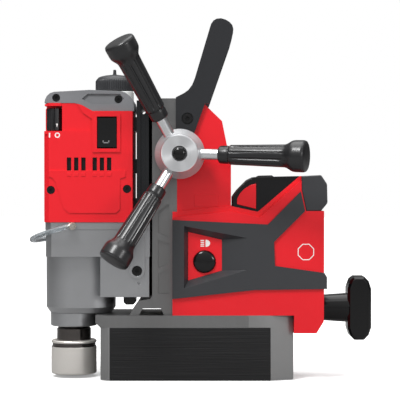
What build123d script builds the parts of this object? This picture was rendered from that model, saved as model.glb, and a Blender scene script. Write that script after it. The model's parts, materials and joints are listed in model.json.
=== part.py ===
"""Magnetic drill press with a battery, modelled as separate pieces.

Frame: +Z up, origin in the middle of the magnet's bottom face, spindle at -X, magnet lever at +X,
feed handle on the -Y side ("near"), coolant bottle on the +Y side ("far"). Millimetres.
"""

import os
from math import atan2, cos, degrees, pi, radians, sin, tan

from build123d import *

os.makedirs("parts", exist_ok=True)

# ---------------------------------------------------------------- driving dimensions
FOOT_HALF_WIDTH = 42.0
FOOT_FRONT = -97.0
FOOT_REAR = 97.0
MAGNET_FRONT = -87.5
MAGNET_REAR = 73.7
MAGNET_TOP = 53.0
BASE_TOP = 65.3
END_FLOOR = 0.5  # the aluminium ends stand this far clear of the work

COLUMN_FRONT = -45.0
COLUMN_STEP = -24.6  # behind this the column is narrower, inside the housing
COLUMN_REAR = -2.0
COLUMN_HALF = 36.0
COLUMN_UPPER_STEP = -20.1
COLUMN_CORE_HALF = 32.5
COLUMN_TOP = 283.0

PINION_X = -17.0
PINION_Z = 226.8
PINION_MODULE = 1.5
PINION_TEETH = 16
SHAFT_R = 8.0

SPINDLE_X = -126.5
MOTOR_X = -110.0
HEAD_HALF = 42.0
HEAD_FRONT = -153.3
HEAD_BACK = -64.5
HEAD_FLOOR = 158.7

LEVER_Z = 70.3
LEVER_MODULE = 1.5
LEVER_TEETH = 29
LEVER_SHAFT_R = 7.0
ROTOR_Z = LEVER_Z - LEVER_MODULE * LEVER_TEETH
MAGNET_ROTOR_R = 20.0

HOUSING_HALF = 44.5
HOUSING_BEVEL_HALF = 39.5
WALL = 3.0
OVERMOLD_FACE = -46.5

RUN = 0.05  # radial clearance of a running fit
GAP = 0.3  # clearance between pieces that pass each other
PRESSURE_ANGLE = radians(20)

NEAR = -1
FAR = 1


# ---------------------------------------------------------------- helpers
def side_plane(y):
    """Plane whose x is +X and y is +Z, facing -Y, at that Y."""
    return Plane.XZ.offset(-y)


def side_slab(points, y_near, y_far, mode=Mode.ADD, corner=0.0):
    """A side outline in X and Z, from y_near to y_far, with its corners rounded if asked."""
    with BuildSketch(side_plane(y_far)) as outline:
        with BuildLine():
            Polyline(*points, close=True)
        make_face()
        if corner:
            fillet(outline.vertices(), corner)
    extrude(outline.sketch, amount=y_far - y_near, mode=mode)


def plan_slab(points, z_low, z_high, mode=Mode.ADD):
    """A plan outline in X and Y, from z_low to z_high."""
    with BuildSketch(Plane.XY.offset(z_low)) as outline:
        with BuildLine():
            Polyline(*points, close=True)
        make_face()
    extrude(outline.sketch, amount=z_high - z_low, mode=mode)


def block(x0, x1, y0, y1, z0, z1, mode=Mode.ADD):
    with Locations(((x0 + x1) / 2, (y0 + y1) / 2, (z0 + z1) / 2)):
        Box(x1 - x0, y1 - y0, z1 - z0, mode=mode)


def rod_x(y, z, x0, x1, r, mode=Mode.ADD):
    with Locations(((x0 + x1) / 2, y, z)):
        Cylinder(r, x1 - x0, rotation=(0, 90, 0), mode=mode)


def rod_y(x, z, y0, y1, r, mode=Mode.ADD):
    with Locations((x, (y0 + y1) / 2, z)):
        Cylinder(r, y1 - y0, rotation=(90, 0, 0), mode=mode)


def rod_z(x, y, z0, z1, r, mode=Mode.ADD):
    with Locations((x, y, (z0 + z1) / 2)):
        Cylinder(r, z1 - z0, mode=mode)


def socket_screw_y(x, z, y_head, side, head_r, head_h, shank_r, shank):
    """A socket-head screw along Y. side is NEAR or FAR, y_head the outer end of its head."""
    inward = -side
    head_end = y_head + inward * head_h
    shank_end = head_end + inward * shank
    rod_y(x, z, min(y_head, head_end), max(y_head, head_end), head_r)
    rod_y(x, z, min(head_end, shank_end), max(head_end, shank_end), shank_r)
    with BuildSketch(side_plane(y_head)) as socket:
        with Locations((x, z)):
            RegularPolygon(head_r * 0.5, 6)
    extrude(socket.sketch, amount=-inward * head_h * 0.6, both=True, mode=Mode.SUBTRACT)


def gear_outline(module, teeth, phase_deg, addendum=0.95, backlash=0.16):
    """A spur gear's outline on the XY plane with a tooth centred on phase_deg. Flanks are involutes."""
    pitch_r = module * teeth / 2
    base_r = pitch_r * cos(PRESSURE_ANGLE)
    tip_r = pitch_r + addendum * module
    root_r = pitch_r - 1.25 * module
    start_r = max(base_r, root_r)
    at_pitch = pi / (2 * teeth) - backlash / (2 * pitch_r)
    roll = tan(PRESSURE_ANGLE) - PRESSURE_ANGLE

    def half_angle(r):
        """Half of the tooth's angular thickness at radius r."""
        a = (1 - (base_r / r) ** 2) ** 0.5
        across = a * r / base_r
        return at_pitch + roll - (across - atan2(across, 1))

    steps = 4
    radii = [start_r + (tip_r - start_r) * i / steps for i in range(steps + 1)]
    flank = [(r * cos(half_angle(r)), r * sin(half_angle(r))) for r in radii]
    foot = root_r - 0.3 * module
    foot_half = half_angle(start_r)
    low = (foot * cos(foot_half), foot * sin(foot_half))
    with BuildSketch() as tooth:
        with BuildLine():
            Line(low, flank[0])
            Spline(*flank)
            ThreePointArc(flank[-1], (tip_r, 0), (flank[-1][0], -flank[-1][1]))
            Spline(*[(x, -y) for x, y in flank])
            Line((flank[0][0], -flank[0][1]), (low[0], -low[1]))
            Line((low[0], -low[1]), low)
        make_face()
    with BuildSketch() as gear:
        Circle(root_r)
        with PolarLocations(0, teeth, start_angle=phase_deg):
            add(tooth.sketch)
    return gear.sketch


def revolve_z(points, x, y=0.0):
    """A turned part: radius and height pairs, spun about the vertical line at x, y."""
    axis_plane = Plane(origin=(x, y, 0), x_dir=(1, 0, 0), z_dir=(0, -1, 0))
    with BuildSketch(axis_plane) as profile:
        with BuildLine():
            Polyline(*points, close=True)
        make_face()
    revolve(profile.sketch, axis=Axis((x, y, 0), (0, 0, 1)))


def save(builder, name):
    builder.part.label = name
    export_step(builder.part, f"parts/{name}.step")


# ---------------------------------------------------------------- base with the switchable magnet
NOSE = -102.0
SEAM_X = 51.3  # where the rear end block's top arm starts
SLOT = [(-58.2, BASE_TOP), (-33.2, BASE_TOP), (-36.2, 72.0), (-54.6, 72.0)]
GUSSET = [(-68.7, BASE_TOP - 1), (-58.4, 79.6), (-47, 81.6), (COLUMN_FRONT + 1, 86),
          (COLUMN_FRONT + 1, BASE_TOP - 1)]
GUSSET_INNER = 24.0
POCKETS = [
    [(-39.3, 169), (-28.2, 178), (-28.2, 143.4), (-39.3, 148.3)],
    [(-39.3, 141), (-28.4, 137.4), (-28.4, 116.9), (-39.3, 112.3)],
    [(-39.3, 107), (-28.2, 111.8), (-28.2, 86.8), (-39.3, 86.8)],
]
POCKET_DEPTH = 2.0
BOSS_R = 17.0
BOSS_OUT = 55.0
BUSH_R = 12.0
DOVE_FRONT_HALF = 17.0
DOVE_BACK_HALF = 23.5
DOVE_X = -34.0
GIB = 4.0
GIB_SCREW_HEIGHTS = (110, 160, 210, 262)
UPPER_FLOOR = 169.2  # the housing is thicker below this height
HANDLE_SCREW_X = -9.6
HANDLE_SCREW_Z = 262.5

RACK_PITCH_X = PINION_X - PINION_MODULE * PINION_TEETH / 2
SCREW_HOLES = [(-30, 12), (30, 12), (-30, 42), (30, 42)]


def dovetail(clear, gib_side):
    """The slide way's plan outline, grown by clear, with room for the gib on the far side."""
    return [
        (-46.5, -DOVE_FRONT_HALF - clear),
        (DOVE_X + clear, -DOVE_BACK_HALF - clear),
        (DOVE_X + clear, DOVE_BACK_HALF + clear + gib_side),
        (-46.5, DOVE_FRONT_HALF + clear + gib_side),
    ]


with BuildPart() as base_column:
    side_slab(
        [(NOSE, BASE_TOP), (NOSE, 57.5), (FOOT_FRONT, MAGNET_TOP), (SEAM_X, MAGNET_TOP), (SEAM_X, BASE_TOP)],
        -FOOT_HALF_WIDTH, FOOT_HALF_WIDTH)
    nose_corners = base_column.edges().filter_by(Axis.Z).group_by(Axis.X)[0]
    chamfer(nose_corners, length=5, length2=14)
    for side in (NEAR, FAR):
        inner, outer = sorted((side * GUSSET_INNER, side * COLUMN_HALF))
        side_slab(GUSSET, inner, outer)
    block(COLUMN_FRONT, COLUMN_STEP, -COLUMN_HALF, COLUMN_HALF, BASE_TOP - 1, COLUMN_TOP)
    block(COLUMN_STEP, COLUMN_UPPER_STEP, -COLUMN_HALF, COLUMN_HALF, UPPER_FLOOR, COLUMN_TOP)
    block(COLUMN_STEP, COLUMN_REAR, -COLUMN_CORE_HALF, COLUMN_CORE_HALF, BASE_TOP - 1, COLUMN_TOP)
    rod_y(PINION_X, PINION_Z, -BOSS_OUT, BOSS_OUT, BOSS_R)
    plan_slab(dovetail(GAP, GIB), BASE_TOP, COLUMN_TOP + 1, mode=Mode.SUBTRACT)
    block(DOVE_X, RACK_PITCH_X + 3.0, -10, 10, BASE_TOP, COLUMN_TOP + 1, mode=Mode.SUBTRACT)
    rod_y(PINION_X, PINION_Z, -13.5, 13.5, 14.6, mode=Mode.SUBTRACT)
    rod_y(PINION_X, PINION_Z, -BOSS_OUT, BOSS_OUT, BUSH_R, mode=Mode.SUBTRACT)
    side_slab(SLOT, -COLUMN_HALF, COLUMN_HALF, mode=Mode.SUBTRACT)
    for side in (NEAR, FAR):
        inner, outer = sorted((side * (COLUMN_HALF - POCKET_DEPTH), side * COLUMN_HALF))
        for pocket in POCKETS:
            side_slab(pocket, inner, outer, mode=Mode.SUBTRACT, corner=1.2)
        inner, outer = sorted((side * 16, side * COLUMN_CORE_HALF))
        rod_y(HANDLE_SCREW_X, HANDLE_SCREW_Z, inner, outer, 3.0, mode=Mode.SUBTRACT)
    for z in GIB_SCREW_HEIGHTS:
        rod_y(-37.5, z, 20, COLUMN_HALF, 3.0, mode=Mode.SUBTRACT)
save(base_column, "base_column")

BRASS_HALF = 3.0
with BuildPart() as magnet_poles:
    for side in (NEAR, FAR):
        low, high = sorted((side * BRASS_HALF, side * FOOT_HALF_WIDTH))
        block(MAGNET_FRONT, MAGNET_REAR, low, high, 0, MAGNET_TOP)
    rod_x(0, ROTOR_Z, MAGNET_FRONT, MAGNET_REAR, MAGNET_ROTOR_R + 0.5, mode=Mode.SUBTRACT)
save(magnet_poles, "magnet_poles")

with BuildPart() as pole_spacers:
    block(MAGNET_FRONT, MAGNET_REAR, -BRASS_HALF, BRASS_HALF, 0, ROTOR_Z)
    block(MAGNET_FRONT, MAGNET_REAR, -BRASS_HALF, BRASS_HALF, ROTOR_Z, MAGNET_TOP)
    rod_x(0, ROTOR_Z, MAGNET_FRONT, MAGNET_REAR, MAGNET_ROTOR_R + 0.5, mode=Mode.SUBTRACT)
save(pole_spacers, "pole_spacers")

JOURNAL_R = 8.0
with BuildPart() as front_end_plate:
    plan_slab(
        [(MAGNET_FRONT, -FOOT_HALF_WIDTH), (-89, -FOOT_HALF_WIDTH), (FOOT_FRONT, -37.5), (FOOT_FRONT, 37.5),
         (-89, FOOT_HALF_WIDTH), (MAGNET_FRONT, FOOT_HALF_WIDTH)], END_FLOOR, MAGNET_TOP)
    rod_x(0, ROTOR_Z, MAGNET_FRONT - 6, MAGNET_FRONT, JOURNAL_R + RUN, mode=Mode.SUBTRACT)
    for y, z in SCREW_HOLES:
        rod_x(y, z, FOOT_FRONT, FOOT_FRONT + 5.2, 4.6, mode=Mode.SUBTRACT)
        rod_x(y, z, FOOT_FRONT + 5.2, MAGNET_FRONT, 2.6, mode=Mode.SUBTRACT)
save(front_end_plate, "front_end_plate")

GEAR_X0 = 79.0
GEAR_X1 = 89.0
with BuildPart() as rear_end_block:
    block(SEAM_X, MAGNET_REAR, -FOOT_HALF_WIDTH, FOOT_HALF_WIDTH, MAGNET_TOP, BASE_TOP)
    plan_slab(
        [(MAGNET_REAR, -FOOT_HALF_WIDTH), (FOOT_REAR, -33), (FOOT_REAR, 33), (MAGNET_REAR, FOOT_HALF_WIDTH)],
        END_FLOOR, BASE_TOP)
    gear_room = LEVER_MODULE * (LEVER_TEETH / 2 + 1) + 0.8
    rod_x(0, ROTOR_Z, GEAR_X0 - 1, GEAR_X1 + 1, gear_room, mode=Mode.SUBTRACT)
    block(GEAR_X0 - 1, GEAR_X1 + 1, -gear_room, gear_room, ROTOR_Z, BASE_TOP, mode=Mode.SUBTRACT)
    rod_x(0, ROTOR_Z, MAGNET_REAR, 94, JOURNAL_R + RUN, mode=Mode.SUBTRACT)
    rod_x(0, LEVER_Z, 75, FOOT_REAR + 1, LEVER_SHAFT_R + GAP, mode=Mode.SUBTRACT)
save(rear_end_block, "rear_end_block")

with BuildPart() as base_screws:
    for y, z in SCREW_HOLES:
        rod_x(y, z, FOOT_FRONT + 0.6, FOOT_FRONT + 5.2, 4.25)
        rod_x(y, z, FOOT_FRONT + 5.2, MAGNET_FRONT, 2.5)
        with BuildSketch(Plane.YZ.offset(FOOT_FRONT + 0.6)) as socket:
            with Locations((y, z)):
                RegularPolygon(2.3, 6)
        extrude(socket.sketch, amount=2.6, mode=Mode.SUBTRACT)
    for z in GIB_SCREW_HEIGHTS:
        rod_y(-37.5, z, 27.6, COLUMN_HALF - 0.8, 2.95)
        with BuildSketch(side_plane(COLUMN_HALF - 0.8)) as socket:
            with Locations((-37.5, z)):
                RegularPolygon(1.6, 6)
        extrude(socket.sketch, amount=2.5, mode=Mode.SUBTRACT)
save(base_screws, "base_screws")

with BuildPart() as magnet_rotor:
    rod_x(0, ROTOR_Z, MAGNET_FRONT + 1, MAGNET_REAR - 1, MAGNET_ROTOR_R)
    rod_x(0, ROTOR_Z, MAGNET_FRONT - 5.5, 93.5, JOURNAL_R)
    outline = gear_outline(LEVER_MODULE, LEVER_TEETH, 90 + 180 / LEVER_TEETH)
    gear_plane = Plane(origin=(GEAR_X0, 0, ROTOR_Z), x_dir=(0, 1, 0), z_dir=(1, 0, 0))
    extrude(gear_plane * outline, amount=GEAR_X1 - GEAR_X0)
save(magnet_rotor, "magnet_rotor")

with BuildPart() as lever_bearings:
    for x0, x1 in ((74.2, 77.6), (91, 96.5)):
        block(x0, x1, -16, 16, BASE_TOP, 84)
    rod_x(0, LEVER_Z, 70, 100, LEVER_SHAFT_R + RUN, mode=Mode.SUBTRACT)
save(lever_bearings, "lever_bearings")

with BuildPart() as lever_shaft:
    outline = gear_outline(LEVER_MODULE, LEVER_TEETH, -90)
    gear_plane = Plane(origin=(GEAR_X0, 0, LEVER_Z), x_dir=(0, 1, 0), z_dir=(1, 0, 0))
    extrude(gear_plane * outline, amount=GEAR_X1 - GEAR_X0)
    rod_x(0, LEVER_Z, GEAR_X0 - 3, 150, LEVER_SHAFT_R)
save(lever_shaft, "lever_shaft")

LEVER_BACK = 128.6
LEVER_BAR_X = 155.0
LEVER_END = 177.6
with BuildPart() as lever_knob:
    side_slab(
        [(153.5, 50), (153.5, 91), (156.5, 99.5), (160.5, 102.6), (170.5, 102.6), (175, 98), (LEVER_END, 90),
         (LEVER_END, 50.6), (175, 43), (170, 38), (160.5, 38), (156, 42.5)], -15, 15)
    knob_faces = lever_knob.faces().filter_by(Axis.Y)
    chamfer([*knob_faces[0].edges(), *knob_faces[1].edges()], length=2.5)
    with BuildSketch(Plane.YZ.offset(LEVER_BACK)) as stem_start:
        with Locations((0, LEVER_Z)):
            Circle(13.2)
    with BuildSketch(Plane.YZ.offset(LEVER_BAR_X)) as stem_end:
        with Locations((0, LEVER_Z)):
            Circle(15.0)
    loft([stem_start.sketch, stem_end.sketch])
    rod_x(0, LEVER_Z, LEVER_BACK, 150, LEVER_SHAFT_R, mode=Mode.SUBTRACT)
save(lever_knob, "lever_knob")

# ---------------------------------------------------------------- slide, rack and feed pinion
RAIL_FLOOR = 84.0
RAIL_TOP = 281.5
RAIL_FRONT = -61.0
RAIL_HALF = 26.0
with BuildPart() as slide_rail:
    plan_slab(
        [(RAIL_FRONT, -RAIL_HALF), (-48.6, -RAIL_HALF), (-48.6, -16.2), (-46.5, -DOVE_FRONT_HALF),
         (DOVE_X, -DOVE_BACK_HALF), (DOVE_X, DOVE_BACK_HALF), (-46.5, DOVE_FRONT_HALF),
         (-48.6, 16.2), (-48.6, RAIL_HALF), (RAIL_FRONT, RAIL_HALF)], RAIL_FLOOR, RAIL_TOP)
    for side in (NEAR, FAR):
        inner, outer = sorted((side * 22.5, side * (RAIL_HALF + 1)))
        block(-57.0, -51.8, inner, outer, RAIL_FLOOR, RAIL_TOP, mode=Mode.SUBTRACT)
    block(DOVE_X - 3.5, DOVE_X, -9, 9, RAIL_FLOOR, RAIL_TOP, mode=Mode.SUBTRACT)
    rod_y(-54.4, 270, -RAIL_HALF, RAIL_HALF, 2.2, mode=Mode.SUBTRACT)
save(slide_rail, "slide_rail")

RACK_FLOOR = 70.0
RACK_TOP = 280.0
with BuildPart() as feed_rack:
    block(DOVE_X - 3.5, RACK_PITCH_X - 1.9, -9, 9, RACK_FLOOR, RACK_TOP)
    pitch = pi * PINION_MODULE
    backlash = 0.2
    lift = 0.95 * PINION_MODULE
    drop = 2.3
    half = pitch / 4 - backlash / 2
    first = int((RACK_FLOOR - PINION_Z) / pitch) + 1
    last = int((RACK_TOP - PINION_Z) / pitch) - 1
    for k in range(first, last):
        z = PINION_Z + (k + 0.5) * pitch
        side_slab(
            [(RACK_PITCH_X - drop, z - half - drop * tan(PRESSURE_ANGLE)),
             (RACK_PITCH_X + lift, z - half + lift * tan(PRESSURE_ANGLE)),
             (RACK_PITCH_X + lift, z + half - lift * tan(PRESSURE_ANGLE)),
             (RACK_PITCH_X - drop, z + half + drop * tan(PRESSURE_ANGLE))], -9, 9)
save(feed_rack, "feed_rack")

with BuildPart() as gib_strip:
    plan_slab(
        [(-46.0, DOVE_FRONT_HALF + 0.6), (DOVE_X, DOVE_BACK_HALF + 0.4),
         (DOVE_X, DOVE_BACK_HALF + GIB), (-46.0, DOVE_FRONT_HALF + GIB + 0.2)], 70, 279)
save(gib_strip, "gib_strip")

with BuildPart() as pinion_bushes:
    for side in (NEAR, FAR):
        inner, outer = sorted((side * 13.5, side * (BOSS_OUT - 1)))
        rod_y(PINION_X, PINION_Z, inner, outer, BUSH_R)
    rod_y(PINION_X, PINION_Z, -BOSS_OUT, BOSS_OUT, SHAFT_R + RUN, mode=Mode.SUBTRACT)
save(pinion_bushes, "pinion_bushes")

HUB_BACK = -56.0
HUB_FACE = -80.0
with BuildPart() as pinion_shaft:
    outline = gear_outline(PINION_MODULE, PINION_TEETH, 0)
    extrude(Plane(origin=(PINION_X, 12, PINION_Z), x_dir=(1, 0, 0), z_dir=(0, -1, 0)) * outline, amount=24)
    rod_y(PINION_X, PINION_Z, -72, BOSS_OUT - 1, SHAFT_R)
save(pinion_shaft, "pinion_shaft")

with BuildPart() as shaft_cap:
    rod_y(PINION_X, PINION_Z, BOSS_OUT, BOSS_OUT + 3, BOSS_R)
    chamfer(shaft_cap.faces().sort_by(Axis.Y)[-1].edges(), length=1.2)
save(shaft_cap, "shaft_cap")

SPOKE_TILT = 18.0
SPOKE_AXIS_Y = -61.0
SPOKE_START_ANGLE = -1.5
SPOKE_COUNT = 3
ROD_R = 5.5
GRIP_INNER = 41.0
GRIP_END = 129.0


def spoke_axis(index):
    """Start point and direction of a spoke: out from the hub and away from the machine."""
    angle = radians(SPOKE_START_ANGLE + index * 360 / SPOKE_COUNT)
    out = cos(radians(SPOKE_TILT))
    return Vector(PINION_X, SPOKE_AXIS_Y, PINION_Z), Vector(
        out * cos(angle), -sin(radians(SPOKE_TILT)), out * sin(angle)
    )


def spoke_plane(index):
    """Plane through the spoke's axis: local x runs along it."""
    start, direction = spoke_axis(index)
    across = direction.cross(Vector(0, 1, 0)).normalized()
    return Plane(origin=start, x_dir=direction, z_dir=across)


def spoke_turned(points, index, mode=Mode.ADD):
    """A turned piece on a spoke: distance along it and radius pairs."""
    plane = spoke_plane(index)
    with BuildSketch(plane) as profile:
        with BuildLine():
            Polyline(*points, close=True)
        make_face()
    start, direction = spoke_axis(index)
    revolve(profile.sketch, axis=Axis(start, direction), mode=mode)


HUB_PROFILE = [(HUB_BACK, 8.0 + RUN), (HUB_BACK, 24.0), (HUB_BACK - 1, 24.8), (-60.5, 24.8), (-77.5, 18.9),
               (-79.2, 18.7), (HUB_FACE, 18.0), (HUB_FACE, 7.2), (-73.5, 7.2), (-73.5, 8.0 + RUN)]
with BuildPart() as feed_hub:
    hub_plane = Plane(origin=(PINION_X, 0, PINION_Z), x_dir=(0, 1, 0), z_dir=(1, 0, 0))
    with BuildSketch(hub_plane) as profile:
        with BuildLine():
            Polyline(*HUB_PROFILE, close=True)
        make_face()
    revolve(profile.sketch, axis=Axis((PINION_X, 0, PINION_Z), (0, 1, 0)))
    for index in range(SPOKE_COUNT):
        spoke_turned([(13, 0), (13, ROD_R), (40, ROD_R), (40, 0)], index, mode=Mode.SUBTRACT)
save(feed_hub, "feed_hub")

with BuildPart() as spoke_rods:
    for index in range(SPOKE_COUNT):
        spoke_turned([(13, 0), (13, ROD_R), (52, ROD_R), (54, 4), (110, 4), (110, 0)], index)
save(spoke_rods, "spoke_rods")

GRIP_PROFILE = [(GRIP_INNER, ROD_R), (GRIP_INNER, 7.6), (42.5, 8.7), (50.5, 8.9), (52.5, 9.8), (80, 10.6),
                (109, 11.2), (113.5, 14.0), (117.5, 15.4), (126.5, 15.6), (128.3, 15.1), (GRIP_END, 14.0),
                (GRIP_END + 0.8, 8.0), (GRIP_END + 1, 0), (110, 0), (110, 4), (54, 4), (52, ROD_R)]
FLUTES = 8
with BuildPart() as spoke_grips:
    for index in range(SPOKE_COUNT):
        spoke_turned(GRIP_PROFILE, index)
        start, direction = spoke_axis(index)
        across = direction.cross(Vector(0, 1, 0)).normalized()
        for k in range(FLUTES):
            turn = 360 * k / FLUTES
            radial = across.rotate(Axis((0, 0, 0), direction), turn)
            middle = start + direction * 82 + radial * 11.4
            flute_plane = Plane(origin=middle, x_dir=radial, z_dir=direction)
            with Locations(flute_plane):
                Cylinder(1.5, 50, mode=Mode.SUBTRACT)
save(spoke_grips, "spoke_grips")

with BuildPart() as hub_button:
    rod_y(PINION_X, PINION_Z, -83.4, -77.0, 6.4)
    fillet(hub_button.faces().sort_by(Axis.Y)[0].edges(), 2.6)
save(hub_button, "hub_button")

# ---------------------------------------------------------------- gearbox, spindle and arbor
SPINDLE_MODULE = 1.25
SPINDLE_TEETH = 34
MOTOR_MODULE = 1.0
LAYSHAFT_TEETH = 30
PINION_SMALL_TEETH = 10
STUB = 0.7  # short teeth, so the small pinions run clear
LAY_TO_SPINDLE = SPINDLE_MODULE * (SPINDLE_TEETH + PINION_SMALL_TEETH) / 2
LAY_TO_MOTOR = MOTOR_MODULE * (LAYSHAFT_TEETH + PINION_SMALL_TEETH) / 2
MOTOR_TO_SPINDLE = MOTOR_X - SPINDLE_X
LAY_DX = (LAY_TO_SPINDLE**2 - LAY_TO_MOTOR**2 + MOTOR_TO_SPINDLE**2) / (2 * MOTOR_TO_SPINDLE)
LAY_X = SPINDLE_X + LAY_DX
LAY_Y = (LAY_TO_SPINDLE**2 - LAY_DX**2) ** 0.5

FLANGE_FLOOR = 124.0
COVER_FLOOR = 151.0
MOUNT_FLOOR = 83.5
GEAR_ROOM_FLOOR = 126.5
SPINDLE_R = 12.5
NOSE_R = 23.7
NOSE_FLOOR = 52.0
BARREL_FLOOR = 66.0
BARREL_BEVEL_TOP = 71.7
BARREL_R = 28.0
BARREL_SPREAD = 15.0
BARREL_X = SPINDLE_X + BARREL_SPREAD / 2
BOSS_FACE = 41.3


def plan_box(x0, x1, half, cut):
    """Plan outline of a box with its two front corners cut off."""
    return [(x0, -half + cut), (x0 + cut, -half), (x1, -half), (x1, half), (x0 + cut, half), (x0, half - cut)]


with BuildPart() as gearbox_body:
    plan_slab(plan_box(-152, -47.3, 40, 6), FLANGE_FLOOR, COVER_FLOOR)
    block(-97, -48, -38.5, 38.5, MOUNT_FLOOR, FLANGE_FLOOR)
    with BuildSketch(Plane.XY.offset(BARREL_BEVEL_TOP)) as barrel:
        with Locations((BARREL_X, 0)):
            SlotCenterToCenter(BARREL_SPREAD, 2 * BARREL_R)
    extrude(barrel.sketch, amount=FLANGE_FLOOR - BARREL_BEVEL_TOP)
    with BuildSketch(Plane.XY.offset(BARREL_FLOOR)) as barrel_foot:
        with Locations((BARREL_X, 0)):
            SlotCenterToCenter(BARREL_SPREAD, 2 * BARREL_R - 7.6)
    loft([barrel_foot.sketch, barrel.sketch])
    for side in (NEAR, FAR):
        inner, outer = sorted((side * 38, side * BOSS_FACE))
        side_slab([(-67.9, 111.7), (-57.5, 146), (-54.9, 147.5), (-52.4, 147.5), (-52.2, 111.2)], inner, outer)
        rod_y(-60.1, 109.9, inner, outer, 8)
    block(RAIL_FRONT, -40, -RAIL_HALF, RAIL_HALF, 60, COVER_FLOOR, mode=Mode.SUBTRACT)
    rod_z(SPINDLE_X, 0, GEAR_ROOM_FLOOR, COVER_FLOOR, 23.6, mode=Mode.SUBTRACT)
    rod_z(LAY_X, LAY_Y, GEAR_ROOM_FLOOR, COVER_FLOOR, 17.2, mode=Mode.SUBTRACT)
    rod_z(MOTOR_X, 0, GEAR_ROOM_FLOOR, COVER_FLOOR, 9, mode=Mode.SUBTRACT)
    rod_z(SPINDLE_X, 0, 60, 90, 20, mode=Mode.SUBTRACT)
    rod_z(SPINDLE_X, 0, 60, GEAR_ROOM_FLOOR, 15, mode=Mode.SUBTRACT)
    rod_z(SPINDLE_X, 0, 116, GEAR_ROOM_FLOOR, 18, mode=Mode.SUBTRACT)
    rod_z(LAY_X, LAY_Y, 118, GEAR_ROOM_FLOOR, 4.0 + RUN, mode=Mode.SUBTRACT)
    for side in (NEAR, FAR):
        low, high = sorted((side * 20, side * 42))
        rod_y(-60.1, 109.9, low, high, 2.6, mode=Mode.SUBTRACT)
        low, high = sorted((side * 36, side * 42))
        rod_y(-60.1, 109.9, low, high, 5.2, mode=Mode.SUBTRACT)
        rod_y(-58.4, 97.5, low, high, 1.4, mode=Mode.SUBTRACT)
save(gearbox_body, "gearbox_body")

with BuildPart() as gearbox_cover:
    plan_slab(plan_box(-152.5, -47.3, 40.5, 6), COVER_FLOOR, HEAD_FLOOR)
    block(RAIL_FRONT, -40, -RAIL_HALF, RAIL_HALF, COVER_FLOOR, HEAD_FLOOR, mode=Mode.SUBTRACT)
    rod_z(SPINDLE_X, 0, COVER_FLOOR, COVER_FLOOR + 5.5, 11, mode=Mode.SUBTRACT)
    rod_z(LAY_X, LAY_Y, COVER_FLOOR, COVER_FLOOR + 5, 4.0 + RUN, mode=Mode.SUBTRACT)
    rod_z(MOTOR_X, 0, COVER_FLOOR, HEAD_FLOOR, 5.4, mode=Mode.SUBTRACT)
    rod_y(-124.5, 154.9, -41, -32, 3.2, mode=Mode.SUBTRACT)
save(gearbox_cover, "gearbox_cover")

with BuildPart() as spindle_nose:
    revolve_z(
        [(SPINDLE_R + 0.5, NOSE_FLOOR), (22.7, NOSE_FLOOR), (NOSE_R, NOSE_FLOOR + 1),
         (NOSE_R, BARREL_FLOOR), (19.9, BARREL_FLOOR), (19.9, 70), (SPINDLE_R + 0.5, 70)], SPINDLE_X)
save(spindle_nose, "spindle_nose")

with BuildPart() as head_bearings:
    rod_z(SPINDLE_X, 0, 72, 90, 20)
    rod_z(SPINDLE_X, 0, 116.5, 125, 18)
    rod_z(SPINDLE_X, 0, 70, 126, SPINDLE_R + RUN, mode=Mode.SUBTRACT)
    rod_z(SPINDLE_X, 0, COVER_FLOOR, COVER_FLOOR + 5.4, 10.95)
    rod_z(SPINDLE_X, 0, COVER_FLOOR, COVER_FLOOR + 5.4, 7.5 + RUN, mode=Mode.SUBTRACT)
save(head_bearings, "head_bearings")

lay_from_spindle = degrees(atan2(LAY_Y, LAY_DX))
lay_from_motor = degrees(atan2(LAY_Y, LAY_X - MOTOR_X))
with BuildPart() as spindle:
    rod_z(SPINDLE_X, 0, 47, 126.8, SPINDLE_R)
    rod_z(SPINDLE_X, 0, 126, 156, 7.5)
    rod_z(SPINDLE_X, 0, 126.8, 138.5, 12)
    teeth = gear_outline(SPINDLE_MODULE, SPINDLE_TEETH, lay_from_spindle, STUB)
    extrude(Pos(SPINDLE_X, 0, 128) * teeth, amount=9)
save(spindle, "spindle")

LAY_SMALL_PHASE = lay_from_spindle + 180 + 180 / PINION_SMALL_TEETH
with BuildPart() as layshaft:
    small = gear_outline(SPINDLE_MODULE, PINION_SMALL_TEETH, LAY_SMALL_PHASE, STUB)
    extrude(Pos(LAY_X, LAY_Y, 127.5) * small, amount=12)
    large = gear_outline(MOTOR_MODULE, LAYSHAFT_TEETH, lay_from_motor + 180, STUB)
    extrude(Pos(LAY_X, LAY_Y, 139.5) * large, amount=8)
    rod_z(LAY_X, LAY_Y, 118.3, COVER_FLOOR + 4.7, 4.0)
save(layshaft, "layshaft")

ARBOR_R = 17.4
WELDON_R = 19.05 / 2
ARBOR_FLOOR = 6.0
ARBOR_TIP_R = 12.8
ARBOR_SHOULDER = 12.5  # the collar's inner lip lifts up to this
with BuildPart() as arbor:
    revolve_z(
        [(WELDON_R + 1, ARBOR_FLOOR), (ARBOR_TIP_R, ARBOR_FLOOR), (ARBOR_TIP_R, ARBOR_SHOULDER),
         (ARBOR_R, ARBOR_SHOULDER), (ARBOR_R, 49), (14.8, 51.4), (SPINDLE_R, 51.4),
         (SPINDLE_R, 47), (6, 47), (6, 45), (WELDON_R, 45), (WELDON_R, ARBOR_FLOOR + 1)], SPINDLE_X)
    for x0, x1 in ((-18, -WELDON_R + 1), (WELDON_R - 1, 18)):
        rod_x(0, 22, SPINDLE_X + x0, SPINDLE_X + x1, 2.5, mode=Mode.SUBTRACT)
save(arbor, "arbor")

with BuildPart() as arbor_pins:
    for x0, x1 in ((-17.2, -WELDON_R - 0.2), (WELDON_R + 0.2, 17.2)):
        rod_x(0, 22, SPINDLE_X + x0, SPINDLE_X + x1, 2.5)
save(arbor_pins, "arbor_pins")

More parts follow.
